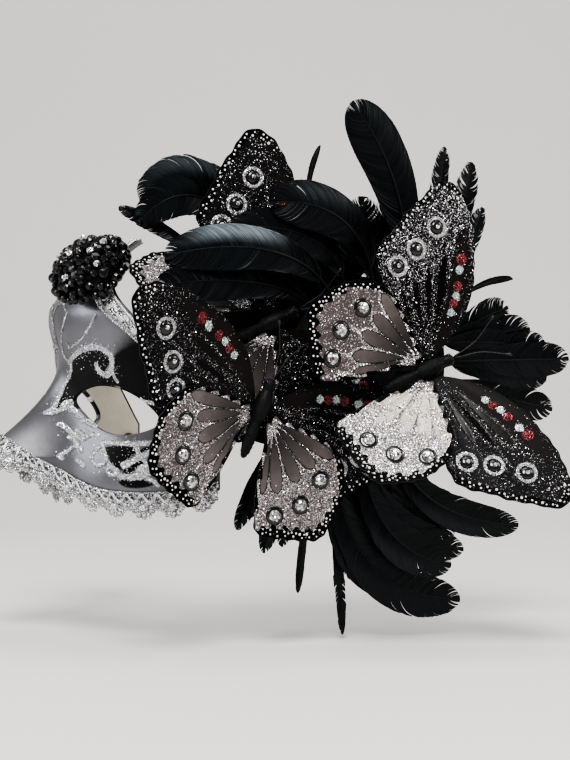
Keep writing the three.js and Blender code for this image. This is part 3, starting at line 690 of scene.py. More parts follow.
class Edge:
    """Places along one edge of the shell: distance along, past the edge, and off the shell.

    lap is a height from the edge back onto the shell, which says which way is past it.
    """

    def __init__(self, edge, first, last, lap):
        self.edge = edge
        self.angle = np.linspace(first, last, EDGE_STEPS)
        z = edge(self.angle)
        self.lip = mask_point(self.angle, z)
        steps = np.linalg.norm(np.diff(self.lip, axis=0), axis=1)
        self.s = np.concatenate([[0], np.cumsum(steps)])
        self.length = self.s[-1]
        self.sign = 1 if lap > 0 else -1
        self.n = mask_normal(self.angle, z)
        self.away = unit(self.lip - mask_point(self.angle, z + lap))

    def place(self, s, past, out):
        s, past, out = np.broadcast_arrays(arr(s), arr(past), arr(out))
        angle = np.interp(s, self.s, self.angle)
        table = np.concatenate([self.lip, self.away, self.n], 1)
        at = np.stack([np.interp(s, self.s, column) for column in table.T], -1)
        lip, away, n = at[..., :3], at[..., 3:6], unit(at[..., 6:])
        beyond = lip + away * past[..., None] + n * out[..., None]
        z = self.edge(angle) + np.where(past < 0, -past, 0) * self.sign
        on = off_mask(angle, z, out)
        return np.where((past < 0)[..., None], on, beyond), n

    def inside(self, s):
        """Distances along that stay clear of the edge's two ends."""
        return np.clip(s, 0.05, self.length - 0.05)


def tubes(mesh, paths, ups, radius, sides=5, material=THREAD, closed=False):
    """Many round tubes that have the same number of points."""
    paths = arr(paths)
    m, n, _ = paths.shape
    t = np.roll(paths, -1, 1) - np.roll(paths, 1, 1) if closed else np.gradient(paths, axis=1)
    t = unit(t)
    side = unit(np.cross(t, np.broadcast_to(ups, paths.shape)))
    up = np.cross(side, t)
    turn = np.arange(sides) * 2 * pi / sides
    ring = side[:, :, None] * np.cos(turn)[:, None] + up[:, :, None] * np.sin(turn)[:, None]
    verts = paths[:, :, None] + ring * radius
    faces = grid_faces(n + 1 if closed else n, sides, wrap=True)[:, ::-1] % (n * sides)
    faces = (faces[None] + (np.arange(m) * n * sides)[:, None, None]).reshape(-1, 4)
    mesh.add(verts, faces, material)


STRANDS, TWIST_PITCH, STRAND_OFFSET = 2, 1.7, 0.85


def twisted(mesh, edge, s, past, out, radius, material=THREAD):
    """Strands twisted round each other along a line on the trim."""
    centre, n = edge.place(s, past, out)
    t = unit(np.gradient(centre, axis=0))
    side = np.cross(t, n)
    length = np.concatenate([[0], np.cumsum(np.linalg.norm(np.diff(centre, axis=0), axis=1))])
    for k in range(STRANDS):
        turn = (2 * pi * (length / TWIST_PITCH + k / STRANDS))[:, None]
        offset = (side * np.cos(turn) + n * np.sin(turn)) * radius * STRAND_OFFSET
        tubes(mesh, (centre + offset)[None], n[None], radius, material=material)


LOOP_POINTS, LOOP_JITTER, LOOP_LIFT = 14, 0.08, 0.35


def loops(mesh, edge, centres, past, out, wide, tall, radius, material=THREAD, lean=0.0):
    """A row of closed loops of thread."""
    turn = np.arange(LOOP_POINTS) * 2 * pi / LOOP_POINTS
    row = (len(centres), 1)
    jitter = rng.normal(0, LOOP_JITTER, row)
    s = centres[:, None] + wide * np.cos(turn) * (1 + jitter) + lean * np.sin(turn)
    v = past + tall * np.sin(turn) * (1 + rng.normal(0, LOOP_JITTER, row))
    lift = out + LOOP_LIFT * np.sin(turn * 2 + rng.uniform(0, 6, row))
    p, n = edge.place(edge.inside(s), v, lift)
    tubes(mesh, p, n, radius, 4, material, closed=True)


RIBBON_BOW, RIBBON_THICKNESS = 0.45, 0.35


def ribbon(mesh, edge, low, high, out, steps, wave, across=10):
    """A bowed ground cloth that runs along the edge, low and high being distances past it."""
    s = np.repeat(np.linspace(0, edge.length, steps)[:, None], across, 1)
    share = np.linspace(0, 1, across)
    v = np.broadcast_to(low + (high - low) * share, s.shape)
    lift = out + RIBBON_BOW * np.sin(pi * share)[None] + wave * rng.normal(0, 1, v.shape)
    faces = grid_faces(steps, across)
    mesh.add(edge.place(s, v, lift)[0], faces, GROUND)
    mesh.add(edge.place(s, v, lift - RIBBON_THICKNESS)[0], faces[:, ::-1], GROUND)


TRIM_FLAKE = 0.34


def trim_flakes(mesh, edge, low, high, out, count):
    s = rng.uniform(0, edge.length, count)
    v = rng.uniform(0, 1, count)
    p, n = edge.place(s, low + (high - low) * v, out + rng.uniform(-0.2, 0.5, count))
    flakes(mesh, p, n, TRIM_FLAKE, LACE_FLAKES, tilt=1.1)


PETALS = np.radians([-158, -124, -90, -56, -22, 20, 160])  # below the band, then two above it
UPPER_PETAL_REACH = 0.7
PETAL_OUT, PETAL_LENGTH, PETAL_WIDTH = 0.62, 0.46, 0.27  # of its reach
KNOT_RINGS = (1.25, 0.6)


def flower(mesh, edge, at, past, reach):
    """A lace rosette that hangs from the band: a fan of loops round a knot."""
    for k, a in enumerate(PETALS):
        far = reach * (1.0 if k < 5 else UPPER_PETAL_REACH)
        s = at + cos(a) * far * PETAL_OUT
        v = past - sin(a) * far * PETAL_OUT
        turn = np.linspace(0, 2 * pi, 16, endpoint=False)
        long, short = far * PETAL_LENGTH * np.cos(turn), far * PETAL_WIDTH * np.sin(turn)
        x = s + cos(a) * long - sin(a) * short
        y = v - (sin(a) * long + cos(a) * short)
        for shift, size in ((0.0, 1.0), (0.35, 0.62)):
            mx, my = x.mean(), y.mean()
            path, n = edge.place(edge.inside(mx + (x - mx) * size), my + (y - my) * size,
                                 1.0 + shift + 0.3 * rng.random())
            tubes(mesh, path[None], n[None], 0.4 - 0.1 * shift, closed=True)
    turn = np.linspace(0, 2 * pi, 12, endpoint=False)
    for r in KNOT_RINGS:
        path, n = edge.place(edge.inside(at + r * np.cos(turn)), past + 0.4 + r * np.sin(turn), 1.8)
        tubes(mesh, path[None], n[None], 0.42, material=BRIGHT, closed=True)


LACE_LAP, LACE_BAND = -3.9, 1.3
LACE_WAVE, LACE_WAVE_PITCH, ROSETTE_PITCH = 1.9, 8.0, 15.5
BRAID_WAVE_PITCH = 9.0
CORD_STEP = 0.3


def cord_places(edge):
    return np.arange(0.2, edge.length - 0.2, CORD_STEP)


def build_lower_lace():
    edge = Edge(lower_edge, -SIDE_ANGLE, SIDE_ANGLE, 2)
    mesh = Mesh()
    length = edge.length
    s = cord_places(edge)
    ribbon(mesh, edge, LACE_LAP, LACE_BAND, 0.5, 900, wave=0.08)
    twisted(mesh, edge, s, LACE_LAP + 0.2, 1.2, 0.42)
    twisted(mesh, edge, s, LACE_BAND - 0.1, 1.2, 0.4)
    phase = 2 * pi * s / LACE_WAVE_PITCH
    wave, sway = LACE_WAVE * np.sin(phase), 0.3 * np.cos(phase)
    for shift, lift in ((0.0, 1.7), (0.85, 1.6)):
        twisted(mesh, edge, s, -1.3 + shift + wave, lift + sway, 0.36, BRIGHT)
    twisted(mesh, edge, s, -0.9 - wave * 0.9, 1.5 - sway, 0.36)
    ribs = np.arange(0.8, length - 0.8, 1.15)
    loops(mesh, edge, ribs, -1.2, 0.95, 0.4, 2.3, 0.24)
    loops(mesh, edge, ribs[::2] + 0.5, 2.2, 1.0, 0.85, 1.3, 0.26, lean=0.3)
    pitch = length / round(length / ROSETTE_PITCH)
    scallop = 3.6 + 1.5 * np.abs(np.cos(pi * s / pitch))
    twisted(mesh, edge, s, scallop - 0.9, 1.1, 0.32, BRIGHT)
    twisted(mesh, edge, s, scallop, 0.9, 0.3)
    for at in np.arange(pitch / 2, length, pitch):
        flower(mesh, edge, at, 3.4, 5.9)
        for small in (at - pitch / 2, at + pitch / 2):
            if 2 < small < length - 2:
                flower(mesh, edge, small, 2.8, 2.5)
    trim_flakes(mesh, edge, -3.8, 5.0, 1.5, 5200)
    mesh.build("lower_lace_threads", LACE_FINISHES, "mask", ["lower_lace"])


def build_braid(name, side):
    edge = Edge(upper_edge, side * 2.5, side * SIDE_ANGLE, -2)
    mesh = Mesh()
    length = edge.length
    s = cord_places(edge)
    ribbon(mesh, edge, -9.0, 0.4, 0.5, 500, wave=0.1, across=14)
    twisted(mesh, edge, s, -0.3, 1.3, 0.5, BRIGHT)
    twisted(mesh, edge, s, -1.6, 1.4, 0.36)
    twisted(mesh, edge, s, -8.0, 1.4, 0.42)
    phase = 2 * pi * s / BRAID_WAVE_PITCH
    sway = 0.3 * np.cos(phase)
    for shift in (0.0, 0.9, 1.8):
        twisted(mesh, edge, s, -5.6 + shift + 1.7 * np.sin(phase), 1.9 + sway, 0.4, BRIGHT)
    twisted(mesh, edge, s, -4.4 - 2.2 * np.sin(phase), 1.6 - sway, 0.42)
    curls = np.arange(2.5, length - 2, 4.5)
    loops(mesh, edge, curls, -4.7, 2.0, 1.5, 1.5, 0.34, BRIGHT)
    loops(mesh, edge, curls + 2.2, -2.8, 1.9, 0.9, 0.9, 0.3)
    fringe = np.arange(1.0, length - 1, 1.3)
    loops(mesh, edge, fringe, -9.6, 1.15, 0.42, 1.75, 0.27, BRIGHT, lean=0.3 * side)
    loops(mesh, edge, fringe + 0.6, -9.2, 1.0, 0.4, 1.4, 0.24, lean=0.3 * side)
    trim_flakes(mesh, edge, -8.6, 0.4, 1.6, 3600)
    mesh.build(name + "_threads", LACE_FINISHES, "mask", [name])


def lathe(mesh, profile, matrix, steps=32, material=0):
    """profile gives radius and height along the matrix's z axis."""
    profile = arr(profile)
    turn = np.arange(steps) * 2 * pi / steps
    r = np.maximum(profile[:, 0], 1e-3)
    local = np.stack([r[:, None] * np.cos(turn), r[:, None] * np.sin(turn),
                      np.repeat(profile[:, 1:2], steps, 1)], -1)
    verts = transform(matrix, local.reshape(-1, 3))
    mesh.add(verts, grid_faces(len(profile), steps, wrap=True), material)


def transform(matrix, points):
    m = np.array(matrix)
    return points @ m[:3, :3].T + m[:3, 3]


def basis(x, y, z, at):
    m = np.eye(4)
    m[:3, 0], m[:3, 1], m[:3, 2], m[:3, 3] = x, y, z, at
    return m


def facing(at, normal, turn=0.0):
    """A frame whose z axis is the normal."""
    z = unit(normal)
    guide = (0.13, 0.99, 0.05) if abs(z[1]) < 0.9 else (1, 0, 0)
    x = unit(np.cross(guide, z))
    y = np.cross(z, x)
    return basis(x * cos(turn) + y * sin(turn), y * cos(turn) - x * sin(turn), z, at)


EYELET_PROFILE = [(2.2, -3.4), (2.5, -3.7), (3.6, -3.75), (4.8, -3.5), (5, -3.2), (4.8, -3.0),
                  (3, -2.95), (3, 0.5), (4.8, 0.55), (5, 0.8), (4.7, 1.1), (3.6, 1.35),
                  (2.6, 1.3), (2.2, 0.9), (2.2, -3.4)]


def build_eyelet(name, side):
    place = side * EYELET_ANGLE, EYELET_HEIGHT
    mesh = Mesh()
    lathe(mesh, EYELET_PROFILE, facing(mask_point(*place), mask_normal(*place)), 48)
    mesh.build(name + "_turned", [BLACK_METAL], "mask", [name])


# ---- brooch -------------------------------------------------------------------------------
# Rows of a faceted bead's corners: share of its radius and of its half height.
BEAD_ROWS = [(0.42, 1), (0.84, 0.55), (1, 0), (0.84, -0.55), (0.42, -1)]


def bead_shape(radius, height, sides):
    """A faceted rondelle."""
    turn = np.arange(sides) * 2 * pi / sides
    rows = []
    for k, (r, z) in enumerate(BEAD_ROWS):
        a = turn + (k % 2) * pi / sides
        rows.append(np.stack([r * radius * np.cos(a), r * radius * np.sin(a),
                              np.full(sides, z * height)], 1))
    tris = []
    last = len(BEAD_ROWS) - 1
    for k in range(last):
        for j in range(sides):
            a, b = k * sides + j, k * sides + (j + 1) % sides
            c, d = a + sides, b + sides
            tris += [(a, c, b), (b, c, d)] if k % 2 == 0 else [(a, c, d), (a, d, b)]
    tris += [(0, j, j + 1) for j in range(1, sides - 1)]
    base = last * sides
    tris += [(base, base + j + 1, base + j) for j in range(1, sides - 1)]
    return np.concatenate(rows), arr(tris).astype(int)


BROOCH_ANGLE, BROOCH_HEIGHT, BROOCH_TURN = 25.0, 42.0, 12.0
BROOCH_RADIUS, BROOCH_STAND, BROOCH_DOME = 21.0, 6.0, 13.0
PLATE_PROFILE = [(0, 0), (20.2, 0), (20.9, 0.3), (21, 0.7), (20.8, 1.2), (20.3, 1.4), (0, 1.4)]
DOME_RADIUS, DOME_SPREAD, DOME_FOOT = 19.2, 21.6, 1.5
BLACK_BEAD, CLEAR_BEAD = (2.75, 2.2, 9), (2.0, 1.7, 10)  # radius, half height, sides
BLACK_SPACING, CLEAR_SPACING = 3.9, 4.0
CLEAR_PLACES = [(-8.8, 8.6), (4.2, 12.2), (13.2, 0.2), (-3.6, -3.2), (3.4, -13.6), (-14.6, -5.6),
                (4.4, 3.6)]
PETAL_BEADS, PETAL_RADIUS, RIM_BEADS = 7, 4.6, 34
BLACK_GLASS, CLEAR_GLASS = 0, 1


def brooch_frame():
    n = rotation(BROOCH_TURN, (0, 0, 1))[:3, :3] @ mask_normal(BROOCH_ANGLE, BROOCH_HEIGHT)
    across = unit(arr((1, 0, 0)) - n * n[0])
    at = off_mask(BROOCH_ANGLE, BROOCH_HEIGHT, BROOCH_STAND)
    return basis(across, np.cross(n, across), n, at)


def dome_share(r, radius):
    return math.sqrt(max(0, 1 - (r / radius) ** 2))


def build_brooch_plate(m):
    plate = Mesh()
    lathe(plate, PLATE_PROFILE, m, 96)
    dome_profile = [(r, DOME_FOOT + (BROOCH_DOME - 1) * dome_share(r, DOME_RADIUS))
                    for r in (DOME_RADIUS, 19, 18, 16, 13, 9, 5, 0.01)]
    lathe(plate, [(0, DOME_FOOT)] + dome_profile, m, 64)
    plate.build("brooch_backing", [BLACK_METAL], "mask", ["brooch_plate"])


def bead_places():
    """Flower clusters of a clear stone ringed by black beads, then beads wherever they fit."""
    spots = [(place, False) for place in CLEAR_PLACES]
    for x, y in CLEAR_PLACES:
        for k in range(PETAL_BEADS):
            a = 2 * pi * k / PETAL_BEADS + x
            spots.append(((x + PETAL_RADIUS * cos(a), y + PETAL_RADIUS * sin(a)), True))
    tries = rng.uniform(-1, 1, (6000, 2)) * (BROOCH_RADIUS + 1)
    spots += [(tuple(place), True) for place in tries]
    placed = []
    for (x, y), black in spots:
        spacing = BLACK_SPACING if black else CLEAR_SPACING
        on_dome = math.hypot(x, y) <= BROOCH_RADIUS + 0.4
        if on_dome and all(math.hypot(x - a, y - b) > spacing for a, b, _ in placed):
            placed.append((x, y, black))
    return placed


def build_brooch():
    m = brooch_frame()
    build_brooch_plate(m)
    mesh = Mesh()
    shape, tris = bead_shape(*BLACK_BEAD)
    clear, clear_tris = bead_shape(*CLEAR_BEAD)
    for x, y, black in bead_places():
        share = dome_share(min(math.hypot(x, y), 0.985 * DOME_SPREAD), DOME_SPREAD)
        height = DOME_FOOT + BROOCH_DOME * share + rng.uniform(-0.3, 0.9)
        n = unit(arr((x, y, DOME_SPREAD * share + 4)) + rng.normal(0, 2.5, 3))
        local = m @ facing((x, y, height), n, rng.uniform(0, 6))
        if black:
            mesh.add(transform(local, shape * rng.uniform(0.86, 1.12)), tris, BLACK_GLASS)
        else:
            mesh.add(transform(local, clear + (0, 0, CLEAR_BEAD[1])), clear_tris, CLEAR_GLASS)
            mesh.add(transform(local, shape * 0.9), tris, BLACK_GLASS)
    for k in range(RIM_BEADS):
        a = 2 * pi * k / RIM_BEADS
        at = BROOCH_RADIUS * cos(a), BROOCH_RADIUS * sin(a), 2.2 + rng.uniform(-0.6, 1)
        local = m @ facing(at, (cos(a), sin(a), 0.3), k)
        mesh.add(transform(local, shape * rng.uniform(0.8, 1.05)), tris, BLACK_GLASS)
    mesh.build("brooch_bead_cluster", [BEAD, CRYSTAL], "mask", ["brooch_beads"],
               smooth=False)


# ---- butterflies --------------------------------------------------------------------------
FOREWING = [(0, -3), (0, 4), (6, 15), (14, 25), (28, 34.5), (42, 40), (55, 43), (70, 43.5),
            (79, 41.5), (87, 35), (86, 27), (81, 19), (76, 8), (69, 0), (64, -9), (58, -14.5),
            (46, -14.5), (34, -12.5), (18, -8.5)]
HINDWING = [(0, -3), (13, -3), (28, -5), (41, -9.5), (48, -18), (51, -31), (49.5, -42),
            (44.5, -55), (36, -58), (28, -59.5), (18, -61.5), (9, -60), (5, -50), (2.5, -36),
            (1, -18)]
FORE_MIDDLE, HIND_MIDDLE = (44, 12), (25, -30)
WING_LAYER, WING_DROOP, WING_REACH, HINGE = 1.6, 4.0, 87.0, 5.2
PAD_BACK, PAD_HALF_LENGTH, PAD_HALF_HEIGHT, PAD_THICKNESS = 140.0, 40.0, 33.0, 9.0
BASE_BACK, BASE_HALF_LENGTH, BASE_HALF_HEIGHT, BASE_THICKNESS, BASE_BOW = 123.0, 72.0, 46.0, 2.5, 5.0
TRIM_GAP, TRIM_THICKNESS, GAP, SPARE = 0.8, 1.5, 0.3, 0.2
BASE_FACE = HALF_WIDTH + TRIM_GAP + TRIM_THICKNESS + GAP + SPARE + BASE_THICKNESS
# Each butterfly's place behind the face, its height and how far out, the way it heads and
# faces, and where its stem leaves and lands. For each side the forewing, then the hindwing:
# lift, sweep and twist in degrees, how far it stands off, the share of the sheet that glitter
# covers and, on one wing, how far its stones are moved.
BUTTERFLIES = {
    "butterfly_1": {
        "at": (76, -23, 26), "head": (0, 0.371, 0.928), "face": (1, 0.06, -0.04),
        "stem": (24, (76, -36)),
        "left": ((19, -8, 0, 0, 0.08), (19, 5, 0, 0, 0.36)),
        "right": ((0, -12, 0, 0, 0.035), (3, 5, 0, 0, 0.42))},
    "butterfly_2": {
        "at": (164, -4, 37), "head": (0, 0.924, 0.383), "face": (1, -0.08, 0.176),
        "stem": (1, (160, -6)),
        "left": ((12, 9, 0, 0, 0.22), (12, 4, 0, 0, 0.14)),
        # Its right hindwing's glitter share of 0.9 makes it pale: a painted highlight.
        "right": ((24, -9, 0, 0, 0.07), (24, -7, 0, 0, 0.9, (5.3, 2.1)))},
    "butterfly_3": {
        "at": (86, 20, 17), "head": (0, 0.914, 0.407), "face": (1, 0, 0),
        "stem": (1, (84, 18)),
        "left": ((-1, -2, 0, 0, 0.05), (2, -1, -50, 7, 0.6)),
        "right": ((0, 0, 0, 0, 0.05), (0, -13, 0, 0, 0.3))},
}
RINGS = [(64.6, 22.8), (56, 8.4), (49.8, -3.9)]
DASHES = [((45.5, 32.5), (40.5, 30)), ((32.6, 27), (28, 25)), ((24.4, 22.4), (20.2, 20))]
DASH_RADII = (3.0, 2.6, 2.4), (2.2, 1.9, 1.9)
STONES = [(36, -26), (29, -41), (17, -50)]
RING_RADIUS, RING_HALF_WIDTH, RING_SPOT, STONE_SPOT = 4.7, 0.8, 3.9, 4.9


def teardrop(start, end, width):
    """A narrow start that widens to a round end."""
    a, b = arr(start), arr(end)
    d = b - a
    length = np.linalg.norm(d)
    d = d / length
    side = arr((-d[1], d[0]))
    t = np.linspace(0, 1, 14)
    half = width / 2 * t ** 0.7 * np.sqrt(np.maximum(0, 1 - t ** 5)) * 1.12
    one = a + d * (t * length)[:, None] + side * half[:, None]
    two = a + d * (t * length)[:, None] - side * half[:, None]
    return np.concatenate([one, two[::-1][1:-1]])


# Cells between the veins: start, end and width.
FORE_CELLS = [teardrop(*cell) for cell in (
    ((8, 3), (46, 13.5), 6.5), ((10, 0.5), (42, 4.2), 5.6), ((10, -2.5), (38, -5), 5.2),
    ((9, 7), (50, 24), 8), ((20, -7), (44, -10.5), 3.4))]
HIND_CELLS = [teardrop(*cell) for cell in (
    ((4.5, -5.2), (40.5, -13.5), 8.6), ((5, -7.5), (31.5, -21.5), 9.2),
    ((5.2, -9.5), (24.5, -31), 9.6), ((4.4, -11.5), (15.2, -39.5), 9.0),
    ((3.2, -13), (7.2, -42), 5.4))]
# The paler band along a forewing's leading edge.
LEAD = [(0, 5), (8, 16), (28, 32), (42, 37.5), (60, 40.5), (60, 34), (44, 26), (26, 17), (10, 8)]


def wing_grid(outline, middle, around, rings):
    """Rings of points from the middle to a smoothed outline, numbered from the middle out."""
    ring = spline(outline, 12, closed=True)
    ring, _ = resample(np.concatenate([ring, ring[:1]]), count=around + 1)
    ring = ring[:-1]
    n = len(ring)
    k = np.arange(n)
    turn = 2 * pi * k / n
    wobble = 0.35 * np.sin(turn * 26) + 0.25 * np.sin(turn * 9 + 1)
    outward = unit(ring - middle)
    far = smoothstep(30, 60, np.linalg.norm(ring, axis=1))
    ring = ring + outward * (wobble * far - 0.2)[:, None]
    share = (np.arange(1, rings + 1) / rings) ** 0.85
    points = arr(middle) + (ring[None] - middle) * share[:, None, None]
    return np.concatenate([[middle], points.reshape(-1, 2)]), ring


def ring_faces(around, rings):
    j = np.arange(around)
    first = np.stack([np.zeros(around, int), 1 + j, 1 + (j + 1) % around], 1)
    quads = grid_faces(rings, around, wrap=True)[:, ::-1] + 1
    return first, quads


def nearest(points, centres, radii):
    """Distance to the nearest of several round spots, negative inside it."""
    gaps = np.linalg.norm(points[:, None] - arr(centres)[None], axis=2)
    return np.min(gaps - radii, axis=1)


def fore_pattern(points, margin):
    x, y = points.T
    centres = arr(RINGS)
    gaps = np.linalg.norm(points[:, None] - centres[None], axis=2)
    reds, whites = zip(*DASHES)
    return {"ring": np.min(np.abs(gaps - RING_RADIUS) - RING_HALF_WIDTH, axis=1),
            "spot": nearest(points, centres, RING_SPOT),
            "red": nearest(points, reds, DASH_RADII[0]),
            "white": nearest(points, whites, DASH_RADII[1]),
            "lead": polygon_distance(points, LEAD),
            "outer": smoothstep(24, 58, x) * 0.75 + 0.25,
            "edge": np.minimum(margin - 3.6, 9) + 3.5 * (1 - smoothstep(50, 66, x - 0.5 * y))}


def hind_pattern(points, margin, shift):
    x, y = points.T
    nothing = np.full(len(points), UNPAINTED)
    from_root = np.hypot(x - 3, y + 6)
    tail = smoothstep(-38, -54, y)
    edge = margin - 1.2 - 4.4 * tail * smoothstep(8, 16, x) - 2.6 * smoothstep(38, 46, x)
    return {"ring": nothing, "red": nothing, "white": nothing,
            "spot": nearest(points, arr(STONES) + shift, STONE_SPOT),
            "outer": smoothstep(18, 34, from_root),
            "depth": smoothstep(6, 38, from_root),
            "edge": edge + 1.2 * np.sin(x * 0.9 + y * 0.55)}


def wing_pattern(points, ring, fore, shift):
    """What is printed at points of a wing, mostly as signed distances in mm."""
    cells = FORE_CELLS if fore else HIND_CELLS
    cell = np.min([polygon_distance(points, c) for c in cells], axis=0)
    margin = -polygon_distance(points, ring)
    values = fore_pattern(points, margin) if fore else hind_pattern(points, margin, shift)
    root = arr((0.0, 2.0 if fore else -4.0))
    veins = []
    for c in cells:
        tip = c[np.argmax(np.linalg.norm(c - root, axis=1))]
        out = tip + unit(tip - root) * (14 if fore else 9)
        path = [root + (1, 0), (root + tip) / 2 + (0, 0.8), tip, out]
        veins.append(path_distance(points, path) - 0.3)
    inner = np.where(cell < 0, UNPAINTED, np.min(veins, axis=0))
    return {"cell": cell, "margin": margin, "vein": np.minimum(inner, np.abs(cell) - 0.5), **values}


FORE_DOT_STEP, HIND_DOT_STEP, FORE_DOT_SEED, HIND_DOT_SEED = 5.2, 4.6, 3, 4


def has_dots(x, y, fore):
    """Whether a place on a wing's outline is on the stretch that carries dots."""
    if fore:
        return x > (70 if y > 39 else 57)
    return (x > 38 and y < -12) or y < -50


def dots_for(ring, fore):
    """Places of the raised dots along a wing's outer margin, with their radii."""
    length = np.concatenate([[0], np.cumsum(np.linalg.norm(np.diff(ring, axis=0), axis=1))])
    centre = arr(FORE_MIDDLE if fore else HIND_MIDDLE)
    out, at = [], 0.0
    step = FORE_DOT_STEP if fore else HIND_DOT_STEP
    local = np.random.default_rng(FORE_DOT_SEED if fore else HIND_DOT_SEED)
    while at < length[-1]:
        p = arr([np.interp(at, length, ring[:, k]) for k in (0, 1)])
        inward = unit(centre - p)
        along = arr((-inward[1], inward[0]))
        if has_dots(*p, fore):
            out.append((p + inward * 1.7, local.uniform(0.4, 0.62)))
            out.append((p + inward * 3.6 + along * 1.1, local.uniform(0.45, 0.78)))
            if local.random() < 0.5:
                out.append((p + inward * 3.3 - along * 1.3, local.uniform(0.35, 0.6)))
        at += step * local.uniform(0.85, 1.15)
    for _ in range(16 if fore else 0):
        out.append((arr((local.uniform(70, 83), local.uniform(24, 40))), local.uniform(0.25, 0.5)))
    return out


AROUND, RINGS_DEEP = 300, 52


@lru_cache(maxsize=None)
def wing_data(fore, shift):
    outline, middle = (FOREWING, FORE_MIDDLE) if fore else (HINDWING, HIND_MIDDLE)
    points, ring = wing_grid(outline, middle, AROUND, RINGS_DEEP)
    return points, ring, wing_pattern(points, ring, fore, shift), dots_for(ring, fore)


def spray(y, z, out):
    return arr((BASE_FACE + out, y, z))


def butterfly_frame(insect):
    y = unit(insect["head"])
    face = arr(insect["face"])
    z = unit(face - y * (face @ y))
    return basis(np.cross(y, z), y, z, spray(*insect["at"]))


def rotation(angle, axis):
    return np.array(Matrix.Rotation(radians(angle), 4, Vector(axis)))


def wing_matrix(insect, side, fore, setting):
    lift, sweep, twist, away = setting[:4]
    middle = FORE_MIDDLE if fore else HIND_MIDDLE
    axis = unit((side * middle[0], middle[1], 0))
    shift = np.eye(4)
    shift[0, 3] = side * HINGE
    off = np.eye(4)
    off[:3, 3] = axis * away
    return (butterfly_frame(insect) @ shift @ rotation(-side * lift, (0, 1, 0))
            @ rotation(side * sweep, (0, 0, 1)) @ rotation(side * twist, axis) @ off)


def wing_height(x, y, fore):
    """The sheet's middle height over the flat, with the soft buckles of stiffened cloth."""
    base = (0 if fore else WING_LAYER) - WING_DROOP * (x / WING_REACH) ** 2
    turn = np.arctan2(y - (2 if fore else -4), x + 4)
    return base + 0.28 * np.sin(turn * (17 if fore else 13)) * smoothstep(6, 30, np.hypot(x, y))


PRINT, RIM, WING_FLAKES, DOTS, CLEAR, BLACK_GEM, RED, PALE = range(8)
FRONT, BACK = 0.28, -0.3  # the sheet's faces, off its middle
DOT_ROWS = [(1.0, 0.0), (0.86, 0.5), (0.5, 0.85), (0.05, 1.0)]
GEM_ROWS = [(1.0, 0.0), (0.97, 0.3), (0.85, 0.6), (0.62, 0.84), (0.3, 0.97), (0.02, 1.0)]
# Above this glitter share a hindwing turns pale: its light cells and streaked glitter are a painted
# highlight.
BACK_GLITTER, PAINTED_GLARE_FROM = 0.05, 0.85


def relief(values):
    """How far the printed lines and patches stand up from the sheet."""
    return (0.3 * smoothstep(0.3, -0.4, values["ring"])
            + 0.25 * smoothstep(0.2, -0.5, values["red"])
            + 0.16 * smoothstep(0.25, -0.3, values["vein"])
            + 0.25 * smoothstep(0.2, -0.5, values["white"]))


def dome(mesh, place, centre, radius, height, low, material, flip, steps=20, rows=GEM_ROWS):
    """A low dome on the sheet; rows give shares of its radius and of its height."""
    turn = np.arange(steps) * 2 * pi / steps
    flat = [np.stack([centre[0] + radius * a * np.cos(turn), centre[1] + radius * a * np.sin(turn)], 1)
            for a, _ in rows]
    lift = [np.full(steps, low + height * b) for _, b in rows]
    faces = grid_faces(len(rows), steps, wrap=True)
    mesh.add(place(np.concatenate(flat), np.concatenate(lift)), faces[:, ::-1] if flip else faces,
             material)


def stones(mesh, place, fore, flip, shift):
    if fore:
        for x, y in RINGS:
            dome(mesh, place, (x, y), 3.3, 1.3, 0.2, BLACK_GEM, flip)
            dome(mesh, place, (x + 0.2, y + 0.4), 1.25, 0.9, 1.2, CLEAR, flip, 12)
        return
    for centre in arr(STONES) + shift:
        dome(mesh, place, centre, 4.4, 0.5, 0.2, BLACK_GEM, flip)
        dome(mesh, place, centre, 3.2, 2.1, 0.5, CLEAR, flip, 24)


def wing_faces(mesh, place, points, values, flip, **same):
    """The sheet's finely divided front and its coarser back."""
    def add_side(verts, around, rings, turned, **given):
        triangles, quads = ring_faces(around, rings)
        if turned:
            triangles, quads = triangles[:, ::-1], quads[:, ::-1]
        start = mesh.add(verts, triangles, PRINT, **given)
        mesh.add_faces(quads, start, PRINT)

    add_side(place(points, FRONT + relief(values)), AROUND, RINGS_DEEP, flip, **same, **values)
    keep = np.arange(0, AROUND, 2)
    deep = np.arange(3, RINGS_DEEP, 4)
    chosen = np.concatenate([[0]] + [1 + r * AROUND + keep for r in deep])
    same["glitter"] = BACK_GLITTER
    add_side(place(points[chosen], BACK), len(keep), len(deep), not flip, **same,
             **{key: value[chosen] for key, value in values.items()})


def build_wing(name, insect, side, fore, setting, body):
    shift = setting[5] if len(setting) > 5 else (0, 0)
    points, ring, values, dots = wing_data(fore, shift)
    m = wing_matrix(insect, side, fore, setting)
    glitter = setting[4]
    flip = side < 0

    def place(p, lift):
        p = arr(p).reshape(-1, 2)
        h = wing_height(p[:, 0], p[:, 1], fore) + lift
        return transform(m, np.stack([side * p[:, 0], p[:, 1], h], 1))

    mesh = Mesh()
    # pale marks the wing whose colour carries a painted highlight.
    pale = 1.0 if glitter > PAINTED_GLARE_FROM and not fore else 0.0
    wing_faces(mesh, place, points, values, flip, glitter=glitter, pale=pale)
    outward = unit(ring - arr(FORE_MIDDLE if fore else HIND_MIDDLE))
    rim = [place(ring + outward * a, b) for a, b in ((0, FRONT), (0.12, 0.1), (0.12, -0.12), (0, BACK))]
    faces = grid_faces(len(rim), AROUND, wrap=True)
    mesh.add(np.concatenate(rim), faces[:, ::-1] if flip else faces, RIM)
    scatter_glitter(mesh, place, unit(m[:3, 2]), values, points, fore, glitter)
    for centre, r in dots:
        dome(mesh, place, centre, r, r * 0.75, 0.25, DOTS, flip, 10, DOT_ROWS)
    stones(mesh, place, fore, flip, shift)
    mesh.build(name + "_cloth", [FORE_SHEET if fore else HIND_SHEET] + WING_FINISHES,
               body, [name])


